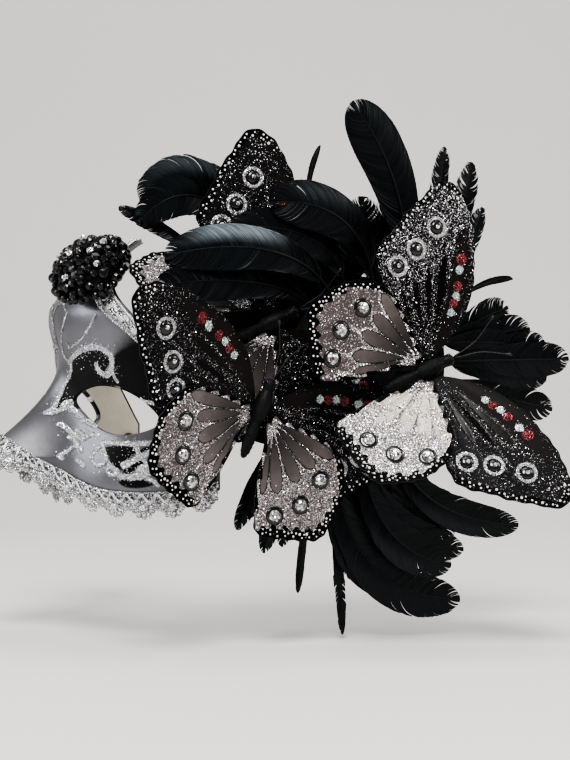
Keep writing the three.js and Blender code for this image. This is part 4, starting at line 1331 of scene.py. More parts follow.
WING_FLAKE, HIND_FLAKE, DASH_FLAKE, RING_FLAKE = 0.32, 0.4, 0.42, 0.34
DASH_FLAKES, RING_FLAKES = 150, 520
DASH_SPREAD = (2.7, 2.3, 2.2)


def scatter_glitter(mesh, place, normal, values, points, fore, glitter):
    """Loose flakes over the printed sheet, thickest where the print is brightest."""
    def scatter(p, low, spread, size, material, tilt=0.9):
        normals = np.broadcast_to(normal, (len(p), 3))
        flakes(mesh, place(p, low + spread * rng.random(len(p))), normals, size, material, tilt)

    count = 5600 if fore else 5200
    pick = rng.integers(0, len(points), count * 2)
    p = points[pick] + rng.normal(0, 0.35, (len(pick), 2))
    chance = density(values, fore, glitter)[pick]
    inside = values["margin"][pick] > 0.6
    # Points crowd near the middle of the rings, so thin them there.
    middle = arr(FORE_MIDDLE if fore else HIND_MIDDLE)
    spread = np.linalg.norm(points[pick] - middle, axis=1) / (45 if fore else 30)
    take = inside & (rng.random(len(pick)) < chance * np.clip(spread + 0.15, 0, 1))
    scatter(p[take][:count], 0.45, 0.12, WING_FLAKE if fore else HIND_FLAKE, WING_FLAKES)
    if not fore:
        return
    for (red, pale), r in zip(DASHES, DASH_SPREAD):
        for centre, material in ((red, RED), (pale, PALE)):
            around = arr(centre) + rng.normal(0, r * 0.45, (DASH_FLAKES, 2))
            scatter(around, 0.65, 0.2, DASH_FLAKE, material)
    turn = rng.normal(2.4, 1.7, RING_FLAKES)
    for centre in RINGS:
        r = RING_RADIUS + rng.normal(0, 0.55, RING_FLAKES)
        around = arr(centre) + np.stack([r * np.cos(turn), r * np.sin(turn)], 1)
        scatter(around, 0.6, 0.2, RING_FLAKE, WING_FLAKES, 0.8)


def density(values, fore, glitter):
    near_vein = smoothstep(1.3, 0.4, values["vein"])
    in_cell = smoothstep(0.2, -0.4, values["cell"])
    in_edge = smoothstep(0.3, -0.3, values["edge"])
    if fore:
        d = glitter * values["outer"] * (1 - in_cell) * (1 - 0.9 * smoothstep(0, -2, values["lead"]))
        d = np.maximum(d, 0.13 * near_vein * (1 - 0.5 * in_edge))
        return d * (1 - 0.9 * smoothstep(0.2, -0.2, values["spot"]))
    d = glitter * values["outer"] * (1 - 0.93 * in_cell) * (1 - 0.92 * in_edge)
    d = np.maximum(d, 0.5 * near_vein * (1 - in_edge) * (1 - in_cell))
    return d * (1 - smoothstep(0.3, -0.3, values["spot"]))


TAIL = -44 * 0.62  # the abdomen's end, behind the hinge
BODY_PROFILE = [(TAIL, 0.2), (TAIL + 1.5, 1.6), (TAIL + 5, 2.5), (TAIL * 0.6, 2.9),
                (TAIL * 0.3, 2.6), (-7, 3.2), (-4.5, 3.9), (-1, 4.3), (3, 4.2), (6, 3.6),
                (8.5, 2.8), (9.6, 2.9), (12, 3.1), (13.8, 2.2), (14.6, 1.2), (15, 0.1)]
BODY_SIDES, BODY_HAIRS, HAIR_HALF_WIDTH = 36, 5200, 0.07
EYE_PLACE, EYE_PROFILE = (2.1, 12.4, 1.4), [(0, 1.1), (0.7, 0.9), (1.0, 0.4), (1.0, 0)]


def body_hairs(mesh, m, y, r):
    """Short hairs that lie back along the body, shortest at the sides where the wings fold."""
    count = BODY_HAIRS
    at = rng.uniform(y[0] + 0.3, y[-1] - 0.3, count)
    spin = rng.uniform(0, 2 * pi, count)
    out = np.stack([np.sin(spin), np.zeros(count), np.cos(spin)], 1)
    foot = out * np.interp(at, y, r)[:, None]
    foot[:, 1] = at
    lean = unit(out * 0.75 + (0, -0.75, 0) + rng.normal(0, 0.3, (count, 3)))
    reach = rng.uniform(0.6, 1.5, count) * (1 - 0.75 * np.abs(np.sin(spin)) ** 2)
    tip = foot + lean * reach[:, None]
    wide = unit(np.cross(lean, out)) * HAIR_HALF_WIDTH
    hairs = transform(m, np.stack([foot - wide, foot + wide, tip], 1).reshape(-1, 3))
    mesh.add(hairs, np.arange(count * 3).reshape(-1, 3))


def build_body(name, m):
    profile = spline(BODY_PROFILE, 6)
    y, r = profile[:, 0], np.maximum(profile[:, 1], 0.05)
    r = r + 0.16 * np.sin(y * 2.3) * smoothstep(-5, -9, y)
    turn = np.arange(BODY_SIDES) * 2 * pi / BODY_SIDES
    local = np.stack([r[:, None] * np.sin(turn), np.repeat(y[:, None], BODY_SIDES, 1),
                      r[:, None] * np.cos(turn)], -1)
    mesh = Mesh()
    mesh.add(transform(m, local.reshape(-1, 3)), grid_faces(len(y), BODY_SIDES, wrap=True))
    body_hairs(mesh, m, y, r)
    for side in (-1, 1):
        eye = facing((side * EYE_PLACE[0], *EYE_PLACE[1:]), (side, 0.2, 0.5))
        lathe(mesh, EYE_PROFILE, m @ eye, 14, 1)
    mesh.build(name + "_plush", [PLUSH, BEAD], "mask", [name])


ANTENNA_ROOT, ANTENNA_LOW, ANTENNA_REACH, ANTENNA_SPREAD = 15.65, 1.2, 26.0, 0.42
ANTENNA_RADIUS, CLUB_SWELL = 0.3, 0.5
STEM_RADIUS, TAPE_RISE, TAPE_PITCH = 0.78, 0.08, 1.1


def build_antennae(name, m):
    """A pair of clubbed antennae bent from one wire."""
    x, root, low = ANTENNA_REACH * ANTENNA_SPREAD, ANTENNA_ROOT, ANTENNA_LOW
    points = [(-x, root + ANTENNA_REACH, low + 7), (-x * 0.3, root + 13, low + 3), (0, root, low),
              (x * 0.3, root + 13, low + 3), (x, root + ANTENNA_REACH, low + 7)]
    path = spline(points, 16)
    t = np.abs(np.linspace(-1, 1, len(path)))
    club = CLUB_SWELL * smoothstep(0.9, 0.97, t) * smoothstep(1.03, 0.985, t)
    radius = (ANTENNA_RADIUS + club) * (1 + 0.1 * np.sin(np.arange(len(path)) * 2.4))
    mesh = Mesh()
    tube(mesh, transform(m, path), radius, 10)
    mesh.build(name + "_wire", [WIRE], "mask", [name])


def build_stem(name, top, foot):
    mesh = Mesh()
    t = np.linspace(0, 1, 60)[:, None]
    path = top * (1 - t) + foot * t
    turn = t[:, 0] * np.linalg.norm(top - foot) / TAPE_PITCH * 2 * pi
    tube(mesh, path, STEM_RADIUS + TAPE_RISE * np.sin(turn), 12)
    mesh.build(name + "_taped", [WIRE], "mask", [name])


def base_bow(y):
    return BASE_BOW * np.maximum(0, (arr(y) - BASE_BACK) / BASE_HALF_LENGTH) ** 2


def rounded(turn, back, half_length, half_height):
    """A place on an oval with squared shoulders, as distance back and height."""
    def square(v):
        return np.sign(v) * np.abs(v) ** 0.8

    return back + half_length * square(np.cos(turn)), half_height * square(np.sin(turn))


def body_drop(behind):
    """The body's radius at a distance behind the hinge."""
    profile = arr(BODY_PROFILE)
    return np.interp(-behind, profile[:, 0], profile[:, 1])


def build_butterflies():
    for name, insect in BUTTERFLIES.items():
        m = butterfly_frame(insect)
        build_body(name + "_body", m)
        build_antennae(name + "_antennae", m)
        behind, (y, z) = insect["stem"]
        top = transform(m, arr([(0, -behind, -body_drop(behind) - 0.3)]))[0]
        on_pad = math.hypot((y - PAD_BACK) / PAD_HALF_LENGTH, z / PAD_HALF_HEIGHT) < 1
        foot = spray(y, z, 0.6 + (PAD_THICKNESS if on_pad else -float(base_bow(y))))
        build_stem(name + "_stem", top, foot)
        for label, side in (("left", -1), ("right", 1)):
            fore, hind = insect[label]
            for kind, setting in (("forewing", fore), ("hindwing", hind)):
                node = f"{name}_{kind}_{label}"
                build_wing(node, insect, side, kind == "forewing", setting, BODY_OF[node])


# ---- felt base and pad --------------------------------------------------------------------
FELT_AROUND, FELT_RINGS, FELT_HAIRS = 160, 26, 9000


def build_felt(name, shape, low, high, softness):
    """A rounded slab; low and high give x on its two faces at a place on it."""
    back, half_length, half_height = shape
    turn = np.arange(FELT_AROUND) * 2 * pi / FELT_AROUND
    share = np.sin(np.linspace(0, pi / 2, FELT_RINGS))
    y, z = rounded(turn[None], back, share[:, None] * half_length, share[:, None] * half_height)
    y, z = y.ravel(), z.ravel()
    inset = np.repeat(np.linspace(pi / 2, 0, FELT_RINGS), FELT_AROUND)
    swell = 1 - np.sin(np.clip(inset / softness, 0, pi / 2))
    middle = (high(y) + low(y)) / 2
    top = high(y) - (high(y) - middle) * swell + rng.normal(0, 0.05, len(y))
    under = low(y) + (middle - low(y)) * swell
    mesh = Mesh()
    faces = grid_faces(FELT_RINGS, FELT_AROUND, wrap=True)
    mesh.add(np.stack([top, y, z], 1), faces[:, ::-1])
    mesh.add(np.stack([under, y, z], 1), faces)
    count = FELT_HAIRS
    pick = rng.integers(0, len(y), count)
    x = np.where(rng.random(count) < 0.5, top[pick], under[pick])
    foot = np.stack([x, y[pick], z[pick]], 1)
    out = np.where(foot[:, :1] > middle[pick, None], 1.0, -1.0) * arr((1, 0, 0))
    lean = unit(out * 0.6 + rng.normal(0, 0.6, (count, 3)))
    tip = foot + lean * rng.uniform(0.2, 0.7, (count, 1))
    wide = unit(np.cross(lean, (0.2, 0.5, 0.8))) * 0.04
    mesh.add(np.stack([foot - wide, foot + wide, tip], 1), np.arange(count * 3).reshape(-1, 3))
    mesh.build(name + "_felt", [FELT], "mask", [name])


def build_bases():
    def base_top(y):
        return BASE_FACE - base_bow(y)

    build_felt("spray_base", (BASE_BACK, BASE_HALF_LENGTH, BASE_HALF_HEIGHT),
               lambda y: base_top(y) - BASE_THICKNESS, base_top, 0.25)
    build_felt("feather_pad", (PAD_BACK, PAD_HALF_LENGTH, PAD_HALF_HEIGHT),
               lambda y: base_top(y) + GAP, lambda y: BASE_FACE + PAD_THICKNESS + 0 * y, 0.5)


# ---- feathers -----------------------------------------------------------------------------
# from: degrees round the pad and distance out; via and tip: distance back, height, distance
# out; then width, bare share of the quill, and how ragged the vane is.
FEATHERS = {
    "plume_upright": ([52, 6], [168, 96, 12], [135, 136, 4], 37, 0.14, 0.03),
    "plume_curl": ([140, 3], [60, 120, 2], [22, 80, -2], 34, 0.14, 0.22),
    "wisp_front": ([154, 2.5], [48, 62, -1], [11, 77, -4], 11, 0.45, 0.6),
    "sweep_front": ([108, 6.5], [84, 66, 52], [22, 50, 36], 30, 0.14, 0.12),
    "sweep_low": ([126, 4], [76, 46, 38], [16, 35, 38], 26, 0.14, 0.2),
    "sweep_upper": ([84, 7], [130, 84, 36], [80, 79, 27], 33, 0.14, 0.1),
    "sweep_middle": ([98, 4], [116, 72, 34], [60, 66, 22], 27, 0.14, 0.15),
    "mass_front": ([104, 1.5], [122, 56, 2], [106, 84, 1], 34, 0.14, 0.35),
    "mass_back": ([70, 3], [150, 56, 4], [158, 84, 0], 34, 0.14, 0.35),
    "spike_front": ([42, 3], [184, 70, 5], [192, 116, 0], 14, 0.14, 0.6),
    "spike_back": ([33, 2], [200, 66, 2], [210, 109, -3], 19, 0.14, 0.65),
    "spike_low": ([26, 5], [200, 52, 6], [214, 84, 2], 15, 0.14, 0.6),
    "quill_back": ([20, 2], [206, 46, 2], [234, 46, 0], 5, 0.4, 0.2),
    "back_upper": ([12, 6], [208, 16, 12], [240, 18, 8], 26, 0.14, 0.32),
    "back_middle": ([0, 7], [222, 1, 16], [262, 2, 12], 26, 0.14, 0.2),
    "back_lower": ([-12, 3], [220, -18, 6], [257, -26, 3], 25, 0.14, 0.22),
    "tail_long": ([-72, 6], [162, -84, 11], [230, -88, 13], 25, 0.14, 0.2),
    "tail_crescent": ([-106, 3], [122, -124, 6], [197, -127, 8], 34, 0.14, 0.16),
    "tail_inner": ([-90, 7], [136, -98, 13], [188, -108, 15], 29, 0.14, 0.14),
    "tail_fill": ([-60, 1.5], [160, -74, 3], [182, -106, 1], 30, 0.14, 0.2),
    "tail_under": ([-84, 1.5], [146, -74, -1], [152, -114, -4], 26, 0.14, 0.3),
    "tail_point": ([-117, 1.5], [130, -92, 0], [133, -144, -3], 8, 0.14, 0.35),
    "small_front": ([-146, 2], [86, -54, 5], [71, -86, 4], 14, 0.14, 0.3),
    "small_middle": ([-137, 6], [94, -60, 9], [84, -98, 8], 15, 0.14, 0.25),
    "small_back": ([-129, 2], [101, -62, 3], [97, -96, 1], 14, 0.14, 0.3),
    "small_point": ([-123, 6], [108, -78, 7], [105, -120, 3], 6, 0.4, 0.15),
    "thin_top": ([116, 4], [102, 84, 4], [119, 113, 0], 4, 0.5, 0.2),
}
QUILL = 1.0


def blade_share(t, bare):
    """The vane's width at a place on the shaft, as a share of its widest."""
    s = np.clip((t - bare) / (1 - bare), 0, 1)
    return 1.09 * s ** 0.6 * np.sqrt(np.maximum(0, 1 - s ** 4))


# Feathers that lie in a bunch of several: how each extra one's middle and tip are shifted,
# back, up and out in mm, and its share of the width.
BUNCHES = {
    "mass_front": [((-9, 2, 1), (-18, -3, 2), 0.9), ((7, 2, 2), (16, 1, 3), 0.95),
                   ((14, -6, 2), (34, -10, 3), 0.9)],
    "mass_back": [((-7, 2, 1), (-17, 3, 2), 0.9), ((8, -5, 1), (20, -8, 2), 0.85)],
    "sweep_low": [((3, 8, -4), (7, 13, -5), 0.9)],
    "back_upper": [((0, 7, -2), (-12, 12, -3), 0.9), ((-3, -5, 2), (-14, -8, 3), 0.8)],
    "back_middle": [((-2, 5, -2), (-14, 9, -2), 0.85), ((-3, -6, -2), (-12, -10, -3), 0.85)],
    "back_lower": [((-4, -5, 1), (-17, -8, 2), 0.85)],
    "tail_fill": [((7, 6, 1), (13, 9, 2), 0.85), ((-8, -2, 1), (-14, -5, 2), 0.9)],
    "tail_under": [((-8, 2, 1), (-13, -2, 1), 0.85), ((8, 2, 1), (14, 4, 2), 0.85)],
    "tail_inner": [((6, 4, -2), (9, 8, -3), 0.85)],
    "tail_crescent": [((-7, 6, -2), (-19, 7, -3), 0.8)],
    "small_front": [((4, 2, -2), (7, 5, -2), 0.8)],
    "small_back": [((5, 1, 1), (8, 3, 2), 0.8)],
    "plume_curl": [((-5, -6, 2), (-3, -12, 3), 0.8)],
}
# Feathers with a painted pale blue sheen on the vane's upper side, a painted highlight, and how strong
# it is.
PAINTED_SHEEN = {"sweep_front": 1.0, "plume_curl": 0.2, "sweep_upper": 0.1, "tail_long": 0.07,
         "tail_inner": 0.07, "small_back": 0.2, "small_middle": 0.2}


VANE, SHAFT = 0, 1
SIDE_RAGGED = 0.1  # how much more ragged a bunch's other feathers are


def build_feather(name, shape):
    (degrees, out), via, tip, width, bare, ragged = shape
    y, z = rounded(arr(radians(degrees)), PAD_BACK, PAD_HALF_LENGTH, PAD_HALF_HEIGHT)
    root = spray(y, z, out - float(base_bow(y)) * (1 - out / PAD_THICKNESS))
    via, tip = spray(*via), spray(*tip)
    root = root + unit(via - root) * (QUILL + GAP)
    local = np.random.default_rng(sum(map(ord, name)))
    mesh = Mesh()
    plume(mesh, local, root, via, tip, width, bare, ragged, PAINTED_SHEEN.get(name, 0.0))
    for middle, end, share in BUNCHES.get(name, ()):
        middle, end = (arr((out, back, up)) for back, up, out in (middle, end))
        plume(mesh, local, root, via + middle, tip + end, width * share, bare, ragged + SIDE_RAGGED)
    mesh.build("plumage_" + name, [FEATHER, RACHIS], "mask", ["feather_" + name])


BARB_STEP, BARB_POINTS, BARB_HALF_WIDTH = 0.34, 10, 0.31
SHAFT_RADIUS, SHAFT_TIP = 0.78, 0.07
CLUMP_LENGTH = 5.0  # how much of the vane holds together between splits
BLUNT, NARROWEST = 0.9985, 0.015


def plume(mesh, local, root, via, tip, width, bare, ragged, bloom=0.0):
    """One feather along a curve from root by way of via to tip: a shaft and its barbs."""

    def at(t):
        t = arr(t)[..., None]
        u = np.clip(t, 0, 1)
        p = root * (1 - u) ** 2 + via * 2 * u * (1 - u) + tip * u ** 2
        return p + (t - u) * 2 * (tip - via)

    def frame_at(t):
        """Out from the feather's face, and across its blade."""
        u = np.clip(arr(t), 0, 1)[..., None]
        tangent = unit((via - root) * (1 - u) + (tip - via) * u)
        outward = unit(arr((1, 0, 0)) - tangent * tangent[..., :1])
        return outward, np.cross(tangent, outward)

    length = np.linalg.norm(np.diff(at(np.linspace(0, 1, 200)), axis=0), axis=1).sum()
    t = np.linspace(0, 0.97, 90)
    radius = SHAFT_RADIUS * (1 - t) ** 0.8 + SHAFT_TIP
    tube(mesh, at(t) + frame_at(t)[0] * (radius * 0.25)[:, None], radius, 8, SHAFT)
    for side in (1, -1):
        vane(mesh, local, side, at, frame_at, length, width, bare, ragged, bloom)


def vane(mesh, local, side, at, frame_at, length, width, bare, ragged, bloom):
    """The barbs on one side of a shaft, in clumps with splits between them."""
    blade = length * (1.0 - bare)
    count = int(blade / BARB_STEP)
    u0 = (np.arange(count) + 0.5) / count
    clumps = max(3, int(blade / CLUMP_LENGTH))
    cuts = np.sort(np.concatenate([[0, 1.001], local.uniform(0, 1, clumps)]))
    strength = local.random(len(cuts)) ** 2.2
    which = np.searchsorted(cuts, u0, side="right") - 1
    low, high = cuts[which], cuts[which + 1]
    phase = (u0 - low) / np.maximum(high - low, 1e-6)

    # Where each barb ends: further along than its foot, and drawn to or from its neighbours.
    half = width / 2
    reach = min(0.95 * half / blade * 1.5, 0.3)
    u1 = u0 + reach * (1 - u0) ** 0.55 * (0.75 + 0.5 * u0)
    split_width = 5.5 * ragged / length
    u1 += split_width * (strength[which] * (1 - phase) ** 2 - strength[which + 1] * phase ** 2)
    u1 += local.normal(0, 0.25, count) * ragged / length * 4
    t0 = bare + (1 - bare) * u0
    t1 = bare + (1 - bare) * np.clip(u1, 0.004, BLUNT)
    end = half * np.maximum(blade_share(t1, bare), NARROWEST)
    notch = local.random(len(cuts)) ** 2
    end *= 1 - 0.3 * ragged * notch[which] - (0.015 + 0.2 * ragged) * local.random(count) ** 2

    # Each barb's curve, and how it lifts off the flat of the blade.
    near_base = smoothstep(0.13, 0, u0)[:, None]
    s = np.linspace(0, 1, BARB_POINTS)
    along = t0[:, None] + (t1 - t0)[:, None] * s ** 1.2
    lateral = end[:, None] * np.sin(s * pi / 2) ** 0.95
    outward, across_blade = frame_at(along)
    cup = -0.13 * lateral ** 2 / half * smoothstep(0, 1, along)
    wave = (0.3 + 0.9 * ragged) * np.sin(along * 15 + side) * (lateral / half) ** 2
    split = local.normal(0, 0.12 + 0.7 * ragged, len(cuts))[which][:, None] * s ** 2
    fluff = near_base * s * local.normal(0, 1.6, (count, 1))
    fine = local.normal(0, 0.04 + 0.25 * ragged, (count, 1)) * s ** 3
    lift = (cup + wave + split + fluff + fine)[..., None]
    centre = at(along) + across_blade * (side * lateral)[..., None] + outward * lift

    # Each barb is a narrow strip, rolled a little about its own length.
    direction = unit(np.gradient(centre, axis=1))
    across = unit(np.cross(direction, outward))
    roll = (0.16 + local.normal(0, 0.1, (count, 1)) * (1 + ragged))[..., None]
    across = unit(across * np.cos(roll) + np.cross(direction, across) * np.sin(roll))
    taper = 1 - (0.45 + 0.45 * min(1, ragged * 2)) * s ** 3
    wide = (BARB_HALF_WIDTH * taper * (1 - 0.75 * near_base * s))[..., None]
    verts = np.stack([centre - across * wide, centre + across * wide], 2)
    points = BARB_POINTS * 2
    faces = grid_faces(BARB_POINTS, 2)[None] + (np.arange(count) * points)[:, None, None]
    shade = np.repeat(local.random(count), points)
    clump = np.repeat(local.random(len(cuts))[which], points)
    # A painted highlight: a pale blue sheen band on the upper side, midway along the vane.
    sheen_band = smoothstep(0.4, 0.6, along) * smoothstep(0.95, 0.75, along) * smoothstep(0.1, 0.5, s)
    sheen_band = sheen_band * bloom * (side > 0) * (0.35 + 0.65 * local.random((count, 1)))
    mesh.add(verts, faces.reshape(-1, 4), VANE, bloom=np.repeat(sheen_band.ravel(), 2), shade=shade,
             clump=clump)


# ---- finishes -----------------------------------------------------------------------------
def silver_paint(n, out):
    spot = here(n)
    cloud = n.group(CLOUD, Vector=spot, Coarse=38.0, Fine=1400.0)
    grain = n.math("SUBTRACT", n.noise(spot, 620.0, 2.0), 0.5)
    line = n.math("ADD", n.attribute("line"), n.math("MULTIPLY", grain, 0.9))
    on_line = n.ramp(line, 0.18, -0.12)
    soft = n.math("ADD", n.attribute("black"), n.math("MULTIPLY", grain, 0.5))
    black = n.ramp(soft, 1.0, -1.0)
    glitter = n.group(GLITTER, Vector=spot, Scale=2300.0, Tilt=1.1)
    bright = n.mix(cloud["Cloud"], (0.165, 0.167, 0.182), (0.27, 0.272, 0.292))
    silver = n.mix(n.attribute("temple"), bright, (0.10, 0.102, 0.112))
    painted = n.mix(black, silver, (0.002, 0.002, 0.0025))
    grains = n.mix(glitter["Shade"], (0.22, 0.22, 0.23), (0.95, 0.95, 0.97))
    n.put(n.mix(on_line, painted, grains), out["Base Color"])
    metal = n.mix_value(black, 0.82, 0.0)
    n.put(n.mix_value(on_line, metal, 0.95), out["Metallic"])
    rough = n.ramp(cloud["Cloud"], 0.2, 0.8, 0.3, 0.42)
    rough = n.mix_value(black, rough, 0.42)
    n.put(n.mix_value(on_line, rough, 0.28), out["Roughness"])
    out["Specular IOR Level"].default_value = 0.25
    fine = n.bump(cloud["Grain"], 0.12, 0.0004)
    wide = n.bump(cloud["Cloud"], 0.25, 0.0012, fine)
    n.put(n.mix_vector(on_line, wide, glitter["Normal"]), out["Normal"])


def papier(n, out):
    spot = here(n)
    cloud = n.group(CLOUD, Vector=spot, Coarse=60.0, Fine=500.0)
    n.put(n.mix(cloud["Cloud"], (0.42, 0.38, 0.31), (0.62, 0.58, 0.5)), out["Base Color"])
    n.put(n.ramp(cloud["Grain"], 0, 1, 0.75, 0.95), out["Roughness"])
    n.put(n.bump(cloud["Cloud"], 0.5, 0.0015, n.bump(cloud["Grain"], 0.3, 0.0004)), out["Normal"])


def metal_flake(low, high, rough=0.22):
    def paint_flake(n, out):
        shade = n.attribute("shade")
        fine = n.noise(here(n), 2600.0, 1.0)
        n.put(n.mix(shade, low, high), out["Base Color"])
        out["Metallic"].default_value = 0.95
        n.put(n.ramp(fine, 0.2, 0.8, rough, rough + 0.2), out["Roughness"])

    return paint_flake


def lace_thread(n, out):
    spot = here(n)
    glitter = n.group(GLITTER, Vector=spot, Scale=2600.0, Tilt=1.2)
    threads = n.group(FIBRES, Vector=spot, Scale=1500.0)
    base = n.mix(threads["Shade"], (0.1, 0.1, 0.108), (0.36, 0.36, 0.375))
    sparkle = n.ramp(glitter["Shade"], 0.35, 0.75)
    n.put(n.mix(sparkle, base, (0.92, 0.92, 0.94)), out["Base Color"])
    out["Metallic"].default_value = 0.85
    n.put(n.ramp(glitter["Shade"], 0, 1, 0.5, 0.2), out["Roughness"])
    n.put(glitter["Normal"], out["Normal"])


def bright_wire(n, out):
    grain = n.noise(here(n), 1900.0, 2.0)
    n.put(n.mix(grain, (0.66, 0.66, 0.68), (0.93, 0.93, 0.95)), out["Base Color"])
    out["Metallic"].default_value = 0.9
    n.put(n.ramp(grain, 0.2, 0.8, 0.18, 0.35), out["Roughness"])


def dark(low, high, rough_low, rough_high, metallic=0.0, bump=0.15, coat=0.0, level=0.5):
    """A dark finish that clouds softly between two tones and two roughnesses."""
    def paint_dark(n, out):
        spot = here(n)
        cloud = n.group(CLOUD, Vector=spot, Coarse=60.0, Fine=1200.0)
        n.put(n.mix(cloud["Cloud"], low, high), out["Base Color"])
        n.put(n.ramp(cloud["Cloud"], 0.25, 0.75, rough_low, rough_high), out["Roughness"])
        n.put(n.bump(cloud["Grain"], bump, 0.0003), out["Normal"])
        out["Metallic"].default_value = metallic
        out["Coat Weight"].default_value = coat
        out["Specular IOR Level"].default_value = level

    return paint_dark


def felt(n, out):
    fibres = n.group(FIBRES, Vector=here(n), Scale=900.0)
    n.put(n.mix(fibres["Shade"], (0.006, 0.006, 0.007), (0.03, 0.03, 0.032)), out["Base Color"])
    n.put(n.ramp(fibres["Height"], 0, 0.3, 0.98, 0.8), out["Roughness"])
    n.put(n.bump(fibres["Height"], 0.5, 0.0006), out["Normal"])
    out["Sheen Weight"].default_value = 0.05
    out["Sheen Roughness"].default_value = 0.5


def crystal(n, out):
    """A clear stone over foil: each facet throws back its own share of light."""
    facets = n.group(GLITTER, Vector=here(n), Scale=820.0, Tilt=1.0)
    fine = n.noise(here(n), 800.0, 2.0)
    n.put(n.mix(facets["Shade"], (0.16, 0.15, 0.16), (0.97, 0.96, 0.97)), out["Base Color"])
    n.put(n.ramp(fine, 0.2, 0.8, 0.02, 0.09), out["Roughness"])
    n.put(facets["Normal"], out["Normal"])
    out["Metallic"].default_value = 0.85
    out["Coat Weight"].default_value = 1.0
    out["Coat Roughness"].default_value = 0.02


def white_dot(n, out):
    fine = n.noise(here(n), 900.0, 2.0)
    n.put(n.mix(fine, (0.72, 0.71, 0.69), (0.9, 0.89, 0.88)), out["Base Color"])
    n.put(n.ramp(fine, 0.2, 0.8, 0.25, 0.45), out["Roughness"])


INK = (0.003, 0.003, 0.003)
FORE_GLITTER = (0.07, 0.07, 0.075), (0.93, 0.93, 0.95)
HIND_GLITTER = (0.16, 0.145, 0.148), (0.88, 0.84, 0.85)
RED_GLITTER = (0.03, 0.004, 0.006), (0.42, 0.1, 0.115)
PALE_GLITTER = (0.25, 0.33, 0.33), (0.95, 1.0, 1.0)


def less(n, value, mask, share=1.0):
    """The value, brought down by a share where the mask is 1."""
    return n.math("MULTIPLY", value, n.math("SUBTRACT", 1.0, n.math("MULTIPLY", mask, share)))


def fore_print(n, mask, streak, amount):
    """The forewing's dark print, and how much of it the glitter covers."""
    lead, cell = mask("lead", 0.9), mask("cell")
    base = n.mix(streak, (0.003, 0.0026, 0.003), (0.008, 0.007, 0.008))
    base = n.mix(lead, base, n.mix(streak, (0.006, 0.004, 0.004), (0.016, 0.011, 0.011)))
    base = n.mix(cell, base, n.mix(streak, (0.0025, 0.002, 0.002), (0.007, 0.0055, 0.0055)))
    amount = less(n, less(n, amount, cell), lead, 0.85)
    beside_vein = n.ramp(n.attribute("vein"), 1.2, 0.3)
    amount = n.math("ADD", amount, n.math("MULTIPLY", beside_vein, 0.1))
    return base, less(n, amount, mask("edge", 0.2), 0.6)


def hind_print(n, mask, streak, amount):
    """The hindwing's satin cells on a dusky ground, with painted highlight on the pale wing, and how
    much the glitter covers.
    """
    cell, pale = mask("cell"), n.attribute("pale")
    base = n.mix(streak, (0.05, 0.037, 0.038), (0.105, 0.082, 0.083))
    satin = n.mix(streak, (0.06, 0.048, 0.048), (0.19, 0.16, 0.156))
    satin = n.mix(n.attribute("depth"), (0.022, 0.018, 0.018), satin)
    # Painted highlight: on the pale wing the cells turn a light grey.
    painted_glare = n.mix(pale, satin, n.mix(streak, (0.42, 0.38, 0.33), (0.8, 0.75, 0.68)))
    base = n.mix(cell, base, painted_glare)
    near = n.math("MULTIPLY", n.ramp(n.attribute("vein"), 1.1, 0.5), 0.6)
    amount = n.math("MAXIMUM", less(n, amount, cell), less(n, less(n, near, pale), cell))
    # Painted highlight: glitter in streaks over the pale wing.
    glare_flecks = n.math("MULTIPLY", pale, n.ramp(streak, 0.45, 0.6, 0.1, 0.8))
    amount = n.math("MAXIMUM", amount, glare_flecks)
    return base, less(n, amount, mask("edge", 0.2), 0.97)


def wing_sheet(fore):
    """Printed cloth, with glitter that lies thickest where the attributes say."""
    def paint_wing(n, out):
        spot = here(n)
        grain = n.noise(spot, 900.0, 3.0)
        streak = n.noise(spot, 140.0, 4.0)
        wobble = n.math("MULTIPLY", n.math("SUBTRACT", grain, 0.5), 0.5)

        def mask(name, soft=0.12):
            return n.ramp(n.math("ADD", n.attribute(name), wobble), soft, -soft)

        glitter = n.group(GLITTER, Vector=spot, Scale=2500.0, Tilt=1.1)
        fine = n.group(GLITTER, Vector=spot, Scale=3100.0, Tilt=0.9)["Shade"]
        vein, edge, under_stone = mask("vein"), mask("edge", 0.2), mask("spot")
        amount = n.math("MULTIPLY", n.attribute("glitter"), n.attribute("outer"))
        base, amount = (fore_print if fore else hind_print)(n, mask, streak, amount)
        amount = less(n, amount, under_stone)
        base = n.mix(edge, base, (0.003, 0.003, 0.0035))
        # Veins show less on the pale wing, under its painted highlight.
        base = n.mix(less(n, vein, n.attribute("pale"), 0.8), base, (0.006, 0.0055, 0.006))
        base = n.mix(under_stone, base, INK)
        chosen = n.math("LESS_THAN", glitter["Shade"], amount)
        bright = n.mix(fine, *(FORE_GLITTER if fore else HIND_GLITTER))
        ring = n.math("MULTIPLY", mask("ring", 0.3), n.math("GREATER_THAN", glitter["Shade"], 0.3))
        coloured = n.mix(ring, n.mix(chosen, base, bright), bright)
        red, white = mask("red", 0.3), mask("white", 0.3)
        coloured = n.mix(red, coloured, n.mix(fine, *RED_GLITTER))
        coloured = n.mix(white, coloured, n.mix(fine, *PALE_GLITTER))
        n.put(coloured, out["Base Color"])
        dashes = n.math("MAXIMUM", red, white)
        shiny = n.math("MAXIMUM", chosen, n.math("MAXIMUM", ring, dashes))
        n.put(n.mix_value(shiny, 0.0, 0.9), out["Metallic"])
        n.put(n.mix_value(shiny, n.mix_value(mask("cell"), 0.5, 0.3), 0.25), out["Roughness"])
        n.put(n.mix_value(edge, 0.16 if fore else 0.45, 0.06), out["Specular IOR Level"])
        weave = n.bump(streak, 0.25, 0.0006)
        n.put(n.mix_vector(shiny, weave, glitter["Normal"]), out["Normal"])

    return paint_wing


